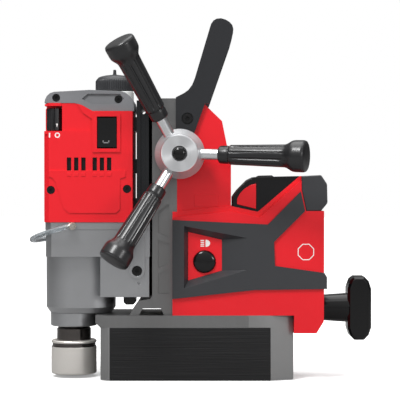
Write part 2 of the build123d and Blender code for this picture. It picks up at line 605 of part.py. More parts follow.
COLLAR_R = 23.2
COLLAR_LIP_R = 13.3
with BuildPart() as arbor_collar:
    revolve_z(
        [(COLLAR_LIP_R, 2.9), (22.4, 2.9), (COLLAR_R, 3.7), (COLLAR_R, 31), (22.2, 31.6), (22.2, 34.4),
         (COLLAR_R, 35), (COLLAR_R, 36.4), (21.8, 37.8), (ARBOR_R + RUN, 37.8), (ARBOR_R + RUN, 5.9),
         (COLLAR_LIP_R, 5.9)], SPINDLE_X)
save(arbor_collar, "arbor_collar")

# ---------------------------------------------------------------- motor and its housing
CAP_SEAM = [(-104.3, 270), (-115.3, 276), (-122.3, 278)]
SHELL_TOP = 278.0
SWITCH_X = -143.5
SWITCH_Y = -31.5
SWITCH_FLOOR = 250.0
SWITCH_TOP = 274.0
POINTER_TURN = 19.5  # the pointer stands at the off mark
ROCKER_X0, ROCKER_X1 = -100.0, -80.0
ROCKER_Z0, ROCKER_Z1 = 232.5, 264.5
ROCKER_Z = (ROCKER_Z0 + ROCKER_Z1) / 2
ROCKER_AXIS_Y = -HEAD_HALF + 2.0
ROCKER_FRAME = [(-104.5, 229), (-76.5, 229), (-76.5, 266.5), (-79, 269.5), (-102, 269.5), (-104.5, 266.5)]
SWITCH_RECESS = [(-136, 250.3), (-105, 250.3), (-105, 262), (-114, 268), (-121, 279), (-136, 279)]
RAISED_PANEL = [(-148.2, 210.5), (-148.2, 204.2), (-144.8, 203.2), (-141, 198.4), (-133, 172.4), (-128, 168),
                (-81, 168), (-77, 172), (-77, 202.5), (-71.4, 204.2), (-71.4, 210.5)]
VENTS = (-128.0, -120.8, -113.6, -102.3, -95.1, -87.9)
SHELL_SCREWS = [(-146.3, 191), (-70, 192)]
CAP_SCREWS = [(-140.9, 283.2), (-78.7, 281.8)]


def head_shell(side):
    """One half of the red motor housing."""
    inner, outer = sorted((0, side * HEAD_HALF))
    side_slab(
        [(HEAD_FRONT, HEAD_FLOOR), (HEAD_BACK, HEAD_FLOOR), (HEAD_BACK, 270), *CAP_SEAM,
         (HEAD_FRONT + 2.5, SHELL_TOP), (HEAD_FRONT, 272)], inner, outer)


for side, name in ((NEAR, "motor_shell_near"), (FAR, "motor_shell_far")):
    with BuildPart() as shell:
        head_shell(side)
        upright_edges = shell.edges().filter_by(Axis.Z)
        chamfer(upright_edges.sort_by(lambda edge: edge.center().X - 10 * side * edge.center().Y)[0], length=5)
        low, high = sorted((0, side * (HEAD_HALF - WALL)))
        side_slab(
            [(HEAD_FRONT + WALL, HEAD_FLOOR), (HEAD_BACK - WALL, HEAD_FLOOR), (HEAD_BACK - WALL, 271), *CAP_SEAM,
             (HEAD_FRONT + 8, SHELL_TOP + 1), (HEAD_FRONT + WALL, 271)], low, high, mode=Mode.SUBTRACT)
        low, high = sorted((side * (HEAD_HALF - 12), side * (HEAD_HALF + 1)))
        for x, z in SHELL_SCREWS:
            inner, outer = sorted((side * (HEAD_HALF - 10), side * (HEAD_HALF - 1)))
            rod_y(x, z, inner, outer, 5.5)
            rod_y(x, z, low, high, 2.2, mode=Mode.SUBTRACT)
            inner, outer = sorted((side * (HEAD_HALF - 4), side * (HEAD_HALF + 1)))
            rod_y(x, z, inner, outer, 4.2, mode=Mode.SUBTRACT)
        if side == NEAR:
            block(HEAD_FRONT + 1, -131, -HEAD_HALF + 1, -18, SWITCH_FLOOR - WALL, SHELL_TOP - 1)
            block(HEAD_FRONT - 1, -135, -HEAD_HALF - 1, -21, SWITCH_FLOOR, SWITCH_TOP + 1, mode=Mode.SUBTRACT)
            rod_z(SWITCH_X, SWITCH_Y, SWITCH_FLOOR - WALL, SWITCH_FLOOR, 4 + RUN, mode=Mode.SUBTRACT)
            side_slab(SWITCH_RECESS, -HEAD_HALF - 1, -HEAD_HALF + 1.5, mode=Mode.SUBTRACT)
            side_slab(ROCKER_FRAME, -HEAD_HALF - 1.6, -HEAD_HALF)
            block(ROCKER_X0, ROCKER_X1, -HEAD_HALF - 2, -HEAD_HALF + WALL, ROCKER_Z0, ROCKER_Z1, mode=Mode.SUBTRACT)
            rod_x(ROCKER_AXIS_Y, ROCKER_Z, ROCKER_X0 - 1.5, ROCKER_X1 + 1.5, 1.2 + RUN, mode=Mode.SUBTRACT)
            side_slab(RAISED_PANEL, -HEAD_HALF - 1.1, -HEAD_HALF)
        for x in VENTS:
            low, high = sorted((side * (HEAD_HALF - WALL - 1), side * (HEAD_HALF + 1)))
            block(x - 2.2, x + 2.2, low, high, 209, 223.5, mode=Mode.SUBTRACT)
    save(shell, name)

CAP = [(-152.6, SHELL_TOP), (-152, 281.6), (-150.2, 285.2), (-147, 288), (-143, 289.3), (-107.3, 291.2),
       (-77, 290), (-72.2, 288.7), (-67.5, 285.4), (-64.3, 280.6), (-63.2, 275), (-63.2, 270), *CAP_SEAM]
CAP_POCKET = [(-115.3, 282.2), (-109.3, 287.2), (-77.2, 287.2), (-73.2, 282.2), (-79.2, 276.7), (-105.3, 276.7)]
with BuildPart() as top_cap:
    side_slab(CAP, -HEAD_HALF + 1, HEAD_HALF - 1)
    for side in (NEAR, FAR):
        inner, outer = sorted((side * (HEAD_HALF - 3), side * HEAD_HALF))
        side_slab(CAP_POCKET, inner, outer, mode=Mode.SUBTRACT)
        inner, outer = sorted((side * (HEAD_HALF - 7), side * HEAD_HALF))
        for x, z in CAP_SCREWS:
            rod_y(x, z, inner, outer, 4.0, mode=Mode.SUBTRACT)
    side_slab(
        [(-147, SHELL_TOP - 9), (-143, 284.8), (-107.3, 288.2), (-73.5, 286.2), (-66.2, 279), (-66.2, 268),
         (-100, 260)], -HEAD_HALF + 6.5, HEAD_HALF - 6.5, mode=Mode.SUBTRACT)
save(top_cap, "top_cap")

with BuildPart() as head_spacers:
    for z0, z1 in ((HEAD_FLOOR + 0.2, 182.4), (208, 222.3), (250.6, 264.7)):
        block(HEAD_BACK, RAIL_FRONT, -RAIL_HALF, RAIL_HALF, z0, z1)
save(head_spacers, "head_spacers")

with BuildPart() as stator:
    rod_z(MOTOR_X, 0, 178, 230, 34)
    block(HEAD_FRONT + WALL, HEAD_BACK - WALL, -8, 8, 182, 226)
    rod_z(MOTOR_X, 0, 178, 230, 20, mode=Mode.SUBTRACT)
    block(HEAD_FRONT + WALL, HEAD_BACK - WALL, -11, 11, 240, 246)
    rod_z(MOTOR_X, 0, 240, 246, 4.5 + RUN, mode=Mode.SUBTRACT)
    for x in (-139, -81):
        block(x - 4, x + 4, -7, 7, 226, 240)
save(stator, "stator")

BLADES = 9
with BuildPart() as motor_rotor:
    rod_z(MOTOR_X, 0, 139, 149, 3.7)
    rod_z(MOTOR_X, 0, 149, 246, 4.5)
    rod_z(MOTOR_X, 0, 182, 226, 19.2)
    rod_z(MOTOR_X, 0, 232, 238, 13)
    teeth = gear_outline(MOTOR_MODULE, PINION_SMALL_TEETH, lay_from_motor + 180 / PINION_SMALL_TEETH, STUB)
    extrude(Pos(MOTOR_X, 0, 139) * teeth, amount=9)
    rod_z(MOTOR_X, 0, 164, 166, 31)
    rod_z(MOTOR_X, 0, 164, 174, 9)
    for k in range(BLADES):
        with Locations(Pos(MOTOR_X, 0, 169.5) * Rot(0, 0, 360 * k / BLADES) * Pos(19, 0, 0)):
            Box(22, 1.4, 8)
save(motor_rotor, "motor_rotor")

with BuildPart() as head_screws:
    for side in (NEAR, FAR):
        for x, z in SHELL_SCREWS:
            socket_screw_y(x, z, side * (HEAD_HALF - 1), side, 3.9, 3, 2.15, 7)
        for x, z in CAP_SCREWS:
            socket_screw_y(x, z, side * (HEAD_HALF - 3), side, 3.7, 3, 1.8, 0.4)
        socket_screw_y(-60.1, 109.9, side * 40, side, 4.8, 4, 2.5, 9.9)
save(head_screws, "head_screws")

with BuildPart() as power_switch:
    rod_z(SWITCH_X, SWITCH_Y, SWITCH_FLOOR + 0.4, SWITCH_TOP - 1, 7.6)
    rod_z(SWITCH_X, SWITCH_Y, SWITCH_FLOOR - WALL + 0.5, SWITCH_FLOOR + 0.4, 4)
    pointer = Pos(SWITCH_X, SWITCH_Y, SWITCH_FLOOR + 11.7) * Rot(0, 0, POINTER_TURN) * Pos(0, -5, 0)
    with Locations(pointer):
        Box(4.4, 10, 22.6)
save(power_switch, "power_switch")

with BuildPart() as rocker_switch:
    rocker_side = Plane(origin=(ROCKER_X1 - 0.6, 0, 0), x_dir=(0, -1, 0), z_dir=(-1, 0, 0))
    half_height = (ROCKER_Z1 - ROCKER_Z0) / 2 - 1.2
    with BuildSketch(rocker_side):
        with BuildLine():
            Polyline(
                (-ROCKER_AXIS_Y + 2.2, ROCKER_Z), (-ROCKER_AXIS_Y + 2.8, ROCKER_Z + half_height),
                (-ROCKER_AXIS_Y - 0.6, ROCKER_Z + half_height), (-ROCKER_AXIS_Y - 1, ROCKER_Z),
                (-ROCKER_AXIS_Y - 0.6, ROCKER_Z - half_height), (-ROCKER_AXIS_Y + 2.8, ROCKER_Z - half_height),
                close=True)
        make_face()
    extrude(amount=ROCKER_X1 - ROCKER_X0 - 1.2)
    rod_x(ROCKER_AXIS_Y, ROCKER_Z, ROCKER_X0 - 1.3, ROCKER_X1 + 1.3, 1.2)
save(rocker_switch, "rocker_switch")

with BuildPart() as work_light:
    block(-75, -62.5, -13, 13, 74, MOUNT_FLOOR)
    chamfer(work_light.edges().filter_by(Axis.Y).group_by(Axis.Z)[0], length=2.5)
save(work_light, "work_light")

# ---------------------------------------------------------------- coolant bottle and hose
BOTTLE_X0, BOTTLE_X1 = -140.0, -68.0
BOTTLE_Y0, BOTTLE_Y1 = 45.0, 84.0
BOTTLE_Z0, BOTTLE_Z1 = 190.0, 295.0
FILLER_X, FILLER_Y = -88.0, 64.0
OUTLET_X, OUTLET_Y = -112.0, 62.0
HOSE_R = 2.5
HOSE_BORE_R = 1.5
BOTTLE_WALL = 2.0


def bottle_block(inset, mode=Mode.ADD):
    """The bottle's rounded block, smaller all round by inset."""
    with BuildSketch(Plane.XY.offset(BOTTLE_Z0 + inset)) as outline:
        with Locations(((BOTTLE_X0 + BOTTLE_X1) / 2, (BOTTLE_Y0 + BOTTLE_Y1) / 2)):
            RectangleRounded(BOTTLE_X1 - BOTTLE_X0 - 2 * inset, BOTTLE_Y1 - BOTTLE_Y0 - 2 * inset, 9 - inset)
    extrude(outline.sketch, amount=BOTTLE_Z1 - BOTTLE_Z0 - 2 * inset, mode=mode)


with BuildPart() as coolant_bottle:
    bottle_block(0)
    rod_z(FILLER_X, FILLER_Y, BOTTLE_Z1 - 1, BOTTLE_Z1 + 12, 15)
    rod_z(OUTLET_X, OUTLET_Y, BOTTLE_Z0 - 6, BOTTLE_Z0 + 1, 4)
    bottle_block(BOTTLE_WALL, mode=Mode.SUBTRACT)
    rod_z(FILLER_X, FILLER_Y, BOTTLE_Z1 - 5, BOTTLE_Z1 + 12, 13, mode=Mode.SUBTRACT)
    rod_z(OUTLET_X, OUTLET_Y, BOTTLE_Z0 - 6, BOTTLE_Z0 + 5, HOSE_R, mode=Mode.SUBTRACT)
save(coolant_bottle, "coolant_bottle")

with BuildPart() as coolant_cap:
    revolve_z(
        [(15 + GAP, 296), (20.5, 296), (20.5, 307), (17.5, 310.5), (9, 313), (3, 313.6), (1.6, 319), (0, 319),
         (0, 309), (15 + GAP, 309)], FILLER_X, FILLER_Y)
save(coolant_cap, "coolant_cap")

with BuildPart() as bottle_bracket:
    block(-132, -76, HEAD_HALF, BOTTLE_Y0, 205, 262)
    block(-116, -92, HEAD_HALF, BOTTLE_Y0, 262, 268)
save(bottle_bracket, "bottle_bracket")

FITTING_X, FITTING_Z = -124.5, 154.9
HOSE_NEAR_Y = -49.5
HOSE_POINTS = [
    (FITTING_X - 3, HOSE_NEAR_Y, FITTING_Z), (-142, -51.5, 151), (-158.5, -43, 145.5), (-168, -22, 141),
    (-168.5, 4, 139), (-162, 30, 139), (-148, 49, 142), (-130, 59, 149), (OUTLET_X, OUTLET_Y, 166),
    (OUTLET_X, OUTLET_Y, BOTTLE_Z0 - 2),
]
hose_start = Vector(*HOSE_POINTS[0])
hose_way = (Vector(*HOSE_POINTS[1]) - hose_start).normalized()
with BuildPart() as coolant_fitting:
    rod_y(FITTING_X, FITTING_Z, -44, -32.5, 3.1)
    with BuildSketch(side_plane(-40.5)) as hexagon:
        with Locations((FITTING_X, FITTING_Z)):
            RegularPolygon(4.2, 6)
    extrude(hexagon.sketch, amount=5)
    rod_y(FITTING_X, FITTING_Z, -52.2, -44, 2.6)
    with Locations(Plane(origin=hose_start - hose_way * 1.6, z_dir=hose_way)):
        Cylinder(2.5, 3.2)
    with Locations(Plane(origin=hose_start + hose_way * 1.5, z_dir=hose_way)):
        Cylinder(HOSE_BORE_R - 0.05, 4)
save(coolant_fitting, "coolant_fitting")


def corner_radii(points):
    """The widest arc that fits each corner: 0.45 of the shorter run beside it."""
    spots = [Vector(*point) for point in points]
    radii = []
    for before, here, after in zip(spots, spots[1:], spots[2:]):
        turn = radians((here - before).get_angle(after - here))
        shorter = min((here - before).length, (after - here).length)
        radii.append(0.45 * shorter / tan(turn / 2))
    return radii


hose_radii = corner_radii(HOSE_POINTS)
with BuildPart() as coolant_hose:
    with BuildLine() as hose_line:
        FilletPolyline(*HOSE_POINTS, radius=hose_radii)
    with BuildSketch(Plane(origin=hose_line.wires()[0] @ 0, z_dir=hose_line.wires()[0] % 0)):
        Circle(HOSE_R)
        Circle(HOSE_BORE_R, mode=Mode.SUBTRACT)
    sweep()
print("hose radii", [round(radius, 1) for radius in hose_radii])
hose_length = hose_line.wires()[0].length
print("hose length", round(hose_length, 1))
print("hose volume", round(coolant_hose.part.volume), "of",
      round(pi * (HOSE_R**2 - HOSE_BORE_R**2) * hose_length))
save(coolant_hose, "coolant_hose")

# ---------------------------------------------------------------- housing behind the column
LOWER = [
    (-24.6, BASE_TOP), (97.2, BASE_TOP), (97.2, 47.3), (119.8, 47.3), (127, 59.3), (127, 170), (109, 170),
    (104.5, 191), (104.5, 205), (102.8, 205), (60.9, 169.2), (33.9, 175), (COLUMN_UPPER_STEP, UPPER_FLOOR),
    (-24.6, UPPER_FLOOR),
]
UPPER = [
    (COLUMN_UPPER_STEP, 160), (34.1, 160), (34.1, 216), (29.6, 238.2), (25.1, 260.2), (11, 273.8), (8, 277.2),
    (-18, 282.8), (COLUMN_UPPER_STEP, 282.8),
]
UPPER_HALF = 36.0
UPPER_ROOM = [(-1.8, 150), (31, 150), (31, 215.5), (22.3, 258.6), (9, 271), (-1.8, 274)]
CORE_ROOM = [(-30, 60), (-1.8, 60), (-1.8, 290), (-30, 290)]
FRONT_ROOM = [(-21.6, 60), (32.6, 60), (32.6, 166), (-21.6, 166)]
UNDER_ROOM = [(30, 60), (100.2, 60), (100.2, 50.3), (118.2, 50.3), (124, 60), (124, 94), (30, 94)]
REAR_ROOM = [(107.4, 90), (124, 90), (124, 167), (112, 167), (107.4, 185)]
BAY_FLOOR = 96.7
BAY = [(35.4, BAY_FLOOR), (104.4, BAY_FLOOR), (104.4, 210), (35.4, 210)]
BAY_HALF = 38.4
SCOOP_OUT = [(-13, 155.1), (50, 143.1), (50, 111.2), (-13, 92.2)]
SCOOP_IN = [(-9, 149.1), (25, 141.1), (25, 110.2), (-9, 100.2)]
SCOOP_SEAT = [(-14.5, 157), (34, 147.9), (34, 104.6), (-14.5, 90)]
SCOOP_SHALLOW = [(34, 147.9), (51.5, 144.6), (51.5, 109.8), (34, 104.6)]
SHALLOW_BACK = -39.3
PANEL_FACE = -38.6
PANEL_BACK = -36.6
LIGHT_X, LIGHT_Z, LIGHT_R = 7.5, 119.1, 11.0
HOUSING_SCREWS = [(-12, 76), (113, 60), (116, 150), (20, 160)]
TAPER_TOP = 91.0
TAPER_SLOPE = 2.6 / 26  # the skin draws in this much per millimetre below the taper's top
UNDER_ROOM_HALF = 37.3


def skin_half(z):
    """Half of the lower housing's width at a height."""
    return HOUSING_HALF - TAPER_SLOPE * max(0.0, TAPER_TOP - z)


for side, name in ((NEAR, "housing_near"), (FAR, "housing_far")):
    with BuildPart() as housing:
        side_slab(LOWER, *sorted((0, side * HOUSING_BEVEL_HALF)))
        side_slab(UPPER, *sorted((0, side * UPPER_HALF)))
        skin = LOWER[:-5] + [(104.5, 200), (102, 199), (63, 163.5), (33, 169.5), (-24.6, 163.5)]
        side_slab(skin, *sorted((side * HOUSING_BEVEL_HALF, side * HOUSING_HALF)))
        side_slab(CORE_ROOM, *sorted((0, side * (COLUMN_CORE_HALF + 0.1))), mode=Mode.SUBTRACT)
        side_slab(FRONT_ROOM, *sorted((0, side * (HOUSING_BEVEL_HALF - 3))), mode=Mode.SUBTRACT)
        side_slab(UNDER_ROOM, *sorted((0, side * UNDER_ROOM_HALF)), mode=Mode.SUBTRACT)
        side_slab(REAR_ROOM, *sorted((0, side * (HOUSING_HALF - WALL))), mode=Mode.SUBTRACT)
        side_slab(UPPER_ROOM, *sorted((0, side * (UPPER_HALF - WALL))), mode=Mode.SUBTRACT)
        side_slab(BAY, *sorted((0, side * BAY_HALF)), mode=Mode.SUBTRACT)
        rod_y(PINION_X, PINION_Z, *sorted((0, side * 40)), BOSS_R + 0.1, mode=Mode.SUBTRACT)
        rod_x(0, LEVER_Z, 120, 130, LEVER_SHAFT_R + RUN, mode=Mode.SUBTRACT)
        rod_y(HANDLE_SCREW_X, HANDLE_SCREW_Z, *sorted((0, side * 40)), 3.0, mode=Mode.SUBTRACT)
        with BuildSketch(Plane.YZ.offset(-30)) as under_cut:
            with BuildLine():
                Polyline((side * HOUSING_HALF, TAPER_TOP), (side * 50, TAPER_TOP), (side * 50, 40),
                         (side * skin_half(40), 40), close=True)
            make_face()
        extrude(under_cut.sketch, amount=165, mode=Mode.SUBTRACT)
        if side == NEAR:
            side_slab(SCOOP_SEAT, -HOUSING_HALF - 1, PANEL_BACK + 0.1, mode=Mode.SUBTRACT)
            side_slab(SCOOP_SHALLOW, -HOUSING_HALF - 1, SHALLOW_BACK, mode=Mode.SUBTRACT)
        else:
            for x, z in HOUSING_SCREWS:
                rod_y(x, z, skin_half(z) - 2.2, HOUSING_HALF + 1, 3.6, mode=Mode.SUBTRACT)
    save(housing, name)

OVERMOLD = [
    (-24.6, 82.2), (57.9, 91.2), (129.8, 92.2), (129.8, 104), (127.2, 108.2), (77.9, 115.2), (76.9, 139.1),
    (107.9, 170), (103.6, 189.6), (70.9, 156.6), (-24.6, 161.1),
]
for side, name in ((NEAR, "overmold_near"), (FAR, "overmold_far")):
    with BuildPart() as overmold:
        side_slab(OVERMOLD, *sorted((side * HOUSING_HALF, side * -OVERMOLD_FACE)))
        block(127, 129.8, *sorted((0, side * -OVERMOLD_FACE)), 92.2, 104)
        if side == NEAR:
            side_slab(SCOOP_SEAT, -HOUSING_HALF, PANEL_BACK)
            side_slab(SCOOP_SHALLOW, -HOUSING_HALF, SHALLOW_BACK)
            with BuildSketch(side_plane(OVERMOLD_FACE - 0.01)) as mouth:
                with BuildLine():
                    Polyline(*SCOOP_OUT, close=True)
                make_face()
            with BuildSketch(side_plane(PANEL_FACE)) as floor:
                with BuildLine():
                    Polyline(*SCOOP_IN, close=True)
                make_face()
            loft([mouth.sketch, floor.sketch], mode=Mode.SUBTRACT)
            side_slab(SCOOP_IN, PANEL_FACE - 0.1, PANEL_BACK, mode=Mode.SUBTRACT)
    save(overmold, name)

with BuildPart() as light_panel:
    side_slab(SCOOP_IN, PANEL_FACE, PANEL_BACK)
    rod_y(LIGHT_X, LIGHT_Z, PANEL_FACE - 1, PANEL_BACK, LIGHT_R + GAP, mode=Mode.SUBTRACT)
save(light_panel, "light_panel")

with BuildPart() as light_button:
    rod_y(LIGHT_X, LIGHT_Z, PANEL_FACE - 4.2, PANEL_BACK - 0.3, LIGHT_R)
    fillet(light_button.faces().sort_by(Axis.Y)[0].edges(), 2.2)
save(light_button, "light_button")

BUMPER = [(104.5, 205), (124, 206), (130, 197), (130.5, 178), (124, 170), (109, 170), (104.5, 191)]
with BuildPart() as rear_bumper:
    side_slab(BUMPER, -HOUSING_HALF, HOUSING_HALF)
save(rear_bumper, "rear_bumper")

with BuildPart() as control_board:
    block(2, 30, -20, -18.4, 78, 158)
    block(6, 26, -18.4, -6, 120, 150)
    rod_y(12, 100, -18.4, -2, 7)
    for z in (84, 92):
        block(18, 28, -18.4, -12, z, z + 5)
    block(14, 18, -20, 20, 79, 83)
    block(2, 30, 18.4, 20, 78, 158)
save(control_board, "control_board")

with BuildPart() as bay_terminals:
    block(58, 82, -12, 12, BAY_FLOOR, BAY_FLOOR + 2)
    for y in (-8, 0, 8):
        block(62, 78, y - 0.8, y + 0.8, BAY_FLOOR + 2, BAY_FLOOR + 10)
save(bay_terminals, "bay_terminals")

# ---------------------------------------------------------------- carrying handle
HANDLE_TOP = [(12.7, 352.8), (14.2, 357.4), (16.4, 360.5), (19.6, 362.4), (24, 362.8), (28.6, 361.5),
              (32.6, 359.1), (35.3, 356), (36.4, 352), (36, 347.8), (33.9, 340)]
HANDLE_FOOT = [(-13, 288), (-8.6, 291.2), (-4.9, 296.2), (-2.3, 302.4)]
CHEEK = [(-21.2, 283.8), *HANDLE_FOOT, *HANDLE_TOP, (12.1, 277.6), (8, 277.6), (-4.1, 244.4), (-21.2, 251.4)]
STRAP = [*HANDLE_FOOT, *HANDLE_TOP, (12.4, 278.4), (-21, 284)]
GRIP = [(11.8, 349.5), *HANDLE_TOP, (29, 338.2), (17, 339.4), (12, 343.5)]
CHEEK_OUT = 40.5
with BuildPart() as handle:
    for side in (NEAR, FAR):
        side_slab(CHEEK, *sorted((side * UPPER_HALF, side * CHEEK_OUT)))
        side_slab(STRAP, *sorted((side * 33, side * UPPER_HALF)))
        low, high = sorted((side * 37.4, side * 42))
        rod_y(HANDLE_SCREW_X, HANDLE_SCREW_Z, low, high, 6, mode=Mode.SUBTRACT)
        low, high = sorted((side * 30, side * 42))
        rod_y(HANDLE_SCREW_X, HANDLE_SCREW_Z, low, high, 3.0, mode=Mode.SUBTRACT)
    side_slab(GRIP, -33, 33)
save(handle, "handle")

with BuildPart() as housing_screws:
    for side in (NEAR, FAR):
        socket_screw_y(HANDLE_SCREW_X, HANDLE_SCREW_Z, side * 40.4, side, 4.7, 3.0, 2.95, 18)
    for x, z in HOUSING_SCREWS:
        rod_y(x, z, skin_half(z) - 2.2, skin_half(z) - 0.6, 3.5)
save(housing_screws, "housing_screws")

# ---------------------------------------------------------------- battery
PACK = [(36, 97), (103.8, 97), (103.8, 205), (100.2, 205), (57.1, 204), (51.1, 201), (41.1, 191), (36, 184)]
PACK_ROOM = [(38.5, 99.5), (101.3, 99.5), (101.3, 202), (58, 201.5), (52.2, 198.6), (43.2, 189.6), (38.5, 183)]
PACK_HALF = 38.0
ACCENT = [(40.2, 176.8), (40.2, 182), (43, 187.6), (48, 192.6), (53.8, 196.1), (59.2, 197.4), (59.2, 172.1)]
RELEASE = [(61, 204.6), (63, 205.6), (76, 205.9), (78, 204.6), (78, 202.4), (61, 202.4)]
for side, name in ((NEAR, "battery_case_near"), (FAR, "battery_case_far")):
    with BuildPart() as case:
        side_slab(PACK, *sorted((0, side * PACK_HALF)))
        side_slab(PACK_ROOM, *sorted((0, side * (PACK_HALF - 2.5))), mode=Mode.SUBTRACT)
        block(57, 83, *sorted((0, side * 13)), 96, 100, mode=Mode.SUBTRACT)
        block(60.6, 78.4, *sorted((0, side * 14.4)), 201, 206, mode=Mode.SUBTRACT)
        side_slab(ACCENT, *sorted((side * (PACK_HALF - 1), side * PACK_HALF)), mode=Mode.SUBTRACT)
    save(case, name)

with BuildPart() as battery_accents:
    for side in (NEAR, FAR):
        side_slab(ACCENT, *sorted((side * (PACK_HALF - 1), side * (PACK_HALF + 0.2))))
save(battery_accents, "battery_accents")

with BuildPart() as battery_cells:
    for x in (58, 82):
        for row in range(4):
            rod_y(x, 121 + 19.6 * row, -33, 33, 9.2)
    block(48, 92, -33.4, -33, 113, 188)
    block(48, 92, 33, 33.4, 113, 188)
    block(66, 74, -10, 10, 110, 190)
save(battery_cells, "battery_cells")

with BuildPart() as battery_release:
    side_slab(RELEASE, -14, 14)
save(battery_release, "battery_release")
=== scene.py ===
"""Looks of the magnetic drill press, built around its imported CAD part. Metres, in the part's own frame."""

import json
import math

import bmesh
import bpy
from mathutils import Matrix, Vector


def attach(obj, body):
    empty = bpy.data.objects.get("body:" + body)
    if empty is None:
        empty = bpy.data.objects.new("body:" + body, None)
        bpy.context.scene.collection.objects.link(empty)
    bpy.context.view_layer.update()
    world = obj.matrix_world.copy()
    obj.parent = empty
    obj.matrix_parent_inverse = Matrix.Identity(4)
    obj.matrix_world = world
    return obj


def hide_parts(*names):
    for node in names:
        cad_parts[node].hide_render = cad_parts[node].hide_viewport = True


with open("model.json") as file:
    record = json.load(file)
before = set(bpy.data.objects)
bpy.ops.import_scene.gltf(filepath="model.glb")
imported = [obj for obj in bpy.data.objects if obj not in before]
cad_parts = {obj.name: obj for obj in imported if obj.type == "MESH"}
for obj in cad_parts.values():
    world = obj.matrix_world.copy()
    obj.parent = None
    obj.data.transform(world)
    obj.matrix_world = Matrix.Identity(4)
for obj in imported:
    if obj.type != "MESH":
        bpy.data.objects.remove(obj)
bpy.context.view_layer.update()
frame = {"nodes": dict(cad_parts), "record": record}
nodes = frame["nodes"]
scene = bpy.context.scene
MM = 0.001


# ---------------------------------------------------------------- camera
camera_data = bpy.data.cameras.new("camera")
camera_data.lens = 140.2
camera_data.sensor_width = 36
camera_data.clip_end = 20
camera = bpy.data.objects.new("camera", camera_data)
scene.collection.objects.link(camera)
camera.location = (0.003, -1.6, 0.196)
aim = Vector((0.003, 0, 0.1806)) - camera.location
camera.rotation_euler = aim.to_track_quat("-Z", "Y").to_euler()
scene.camera = camera


# ---------------------------------------------------------------- materials
def linear(red, green, blue):
    """Display values from 0 to 255 as the linear colour a shader takes."""
    shades = [v / 255 for v in (red, green, blue)]
    return (*[((v + 0.055) / 1.055) ** 2.4 if v > 0.0405 else v / 12.92 for v in shades], 1)


def material(name, colour, roughness, metallic=0.0, mottle=0.04, grain=900.0, bump=0.05, stretch=(1, 1, 1),
             coat=0.0, spread=0.06, specular=0.5, bump_depth=0.0002):
    """A procedural finish: colour and roughness drift with noise, and a fine grain lifts the surface."""
    mat = bpy.data.materials.new(name)
    mat.use_nodes = True
    tree = mat.node_tree
    shader = tree.nodes["Principled BSDF"]
    where = tree.nodes.new("ShaderNodeTexCoord")
    mapping = tree.nodes.new("ShaderNodeMapping")
    mapping.inputs["Scale"].default_value = stretch
    tree.links.new(where.outputs["Object"], mapping.inputs["Vector"])
    broad = tree.nodes.new("ShaderNodeTexNoise")
    broad.inputs["Scale"].default_value = grain / 12
    broad.inputs["Detail"].default_value = 4
    fine = tree.nodes.new("ShaderNodeTexNoise")
    fine.inputs["Scale"].default_value = grain
    fine.inputs["Detail"].default_value = 3
    for noise in (broad, fine):
        tree.links.new(mapping.outputs["Vector"], noise.inputs["Vector"])
    tone = tree.nodes.new("ShaderNodeMix")
    tone.data_type = "RGBA"
    base = linear(*colour)
    tone.inputs["A"].default_value = tuple(c * (1 - mottle) for c in base[:3]) + (1,)
    tone.inputs["B"].default_value = tuple(min(1, c * (1 + mottle)) for c in base[:3]) + (1,)
    blend = tree.nodes.new("ShaderNodeMath")
    blend.operation = "MULTIPLY_ADD"
    blend.inputs[1].default_value = 0.5
    tree.links.new(broad.outputs["Fac"], blend.inputs[0])
    half = tree.nodes.new("ShaderNodeMath")
    half.operation = "MULTIPLY"
    half.inputs[1].default_value = 0.5
    tree.links.new(fine.outputs["Fac"], half.inputs[0])
    tree.links.new(half.outputs["Value"], blend.inputs[2])
    tree.links.new(blend.outputs["Value"], tone.inputs["Factor"])
    tree.links.new(tone.outputs["Result"], shader.inputs["Base Color"])
    gloss = tree.nodes.new("ShaderNodeMapRange")
    gloss.inputs["To Min"].default_value = max(0.02, roughness - spread)
    gloss.inputs["To Max"].default_value = min(1, roughness + spread)
    tree.links.new(fine.outputs["Fac"], gloss.inputs["Value"])
    tree.links.new(gloss.outputs["Result"], shader.inputs["Roughness"])
    shader.inputs["Metallic"].default_value = metallic
    shader.inputs["Specular IOR Level"].default_value = specular
    shader.inputs["Coat Weight"].default_value = coat
    shader.inputs["Coat Roughness"].default_value = 0.15
    lift = tree.nodes.new("ShaderNodeBump")
    lift.inputs["Strength"].default_value = bump
    lift.inputs["Distance"].default_value = bump_depth
    tree.links.new(fine.outputs["Fac"], lift.inputs["Height"])
    tree.links.new(lift.outputs["Normal"], shader.inputs["Normal"])
    return mat


RED = material("red_plastic", (232, 26, 38), 0.3, grain=1500, bump=0.06, mottle=0.03, specular=0.4)
CAST = material("cast_grey", (172, 173, 175), 0.33, metallic=0.92, grain=1100, bump=0.2, mottle=0.07)
COLUMN = material("column_grey", (130, 130, 130), 0.36, metallic=0.85, grain=700, bump=0.16, mottle=0.1,
                  stretch=(1, 1, 0.12))
END = material("end_grey", (140, 140, 140), 0.44, metallic=0.7, grain=900, bump=0.14, mottle=0.05)
MAGNET = material("magnet_black", (34, 34, 35), 0.46, metallic=0.5, grain=420, bump=0.8, mottle=0.65,
                  stretch=(0.04, 0.04, 2.2), bump_depth=0.0005)
BRASS = material("brass", (190, 158, 96), 0.35, metallic=1.0)
RAIL = material("rail_steel", (58, 59, 61), 0.24, metallic=0.9, grain=500, stretch=(1, 1, 0.06), bump=0.1)
STEEL = material("shaft_steel", (178, 179, 181), 0.3, metallic=1.0, grain=700)
BOLT = material("black_bolt", (20, 20, 21), 0.4, metallic=0.4, grain=900)
CHROME = material("chrome", (222, 223, 225), 0.3, metallic=1.0, grain=260, mottle=0.03, bump=0.004)
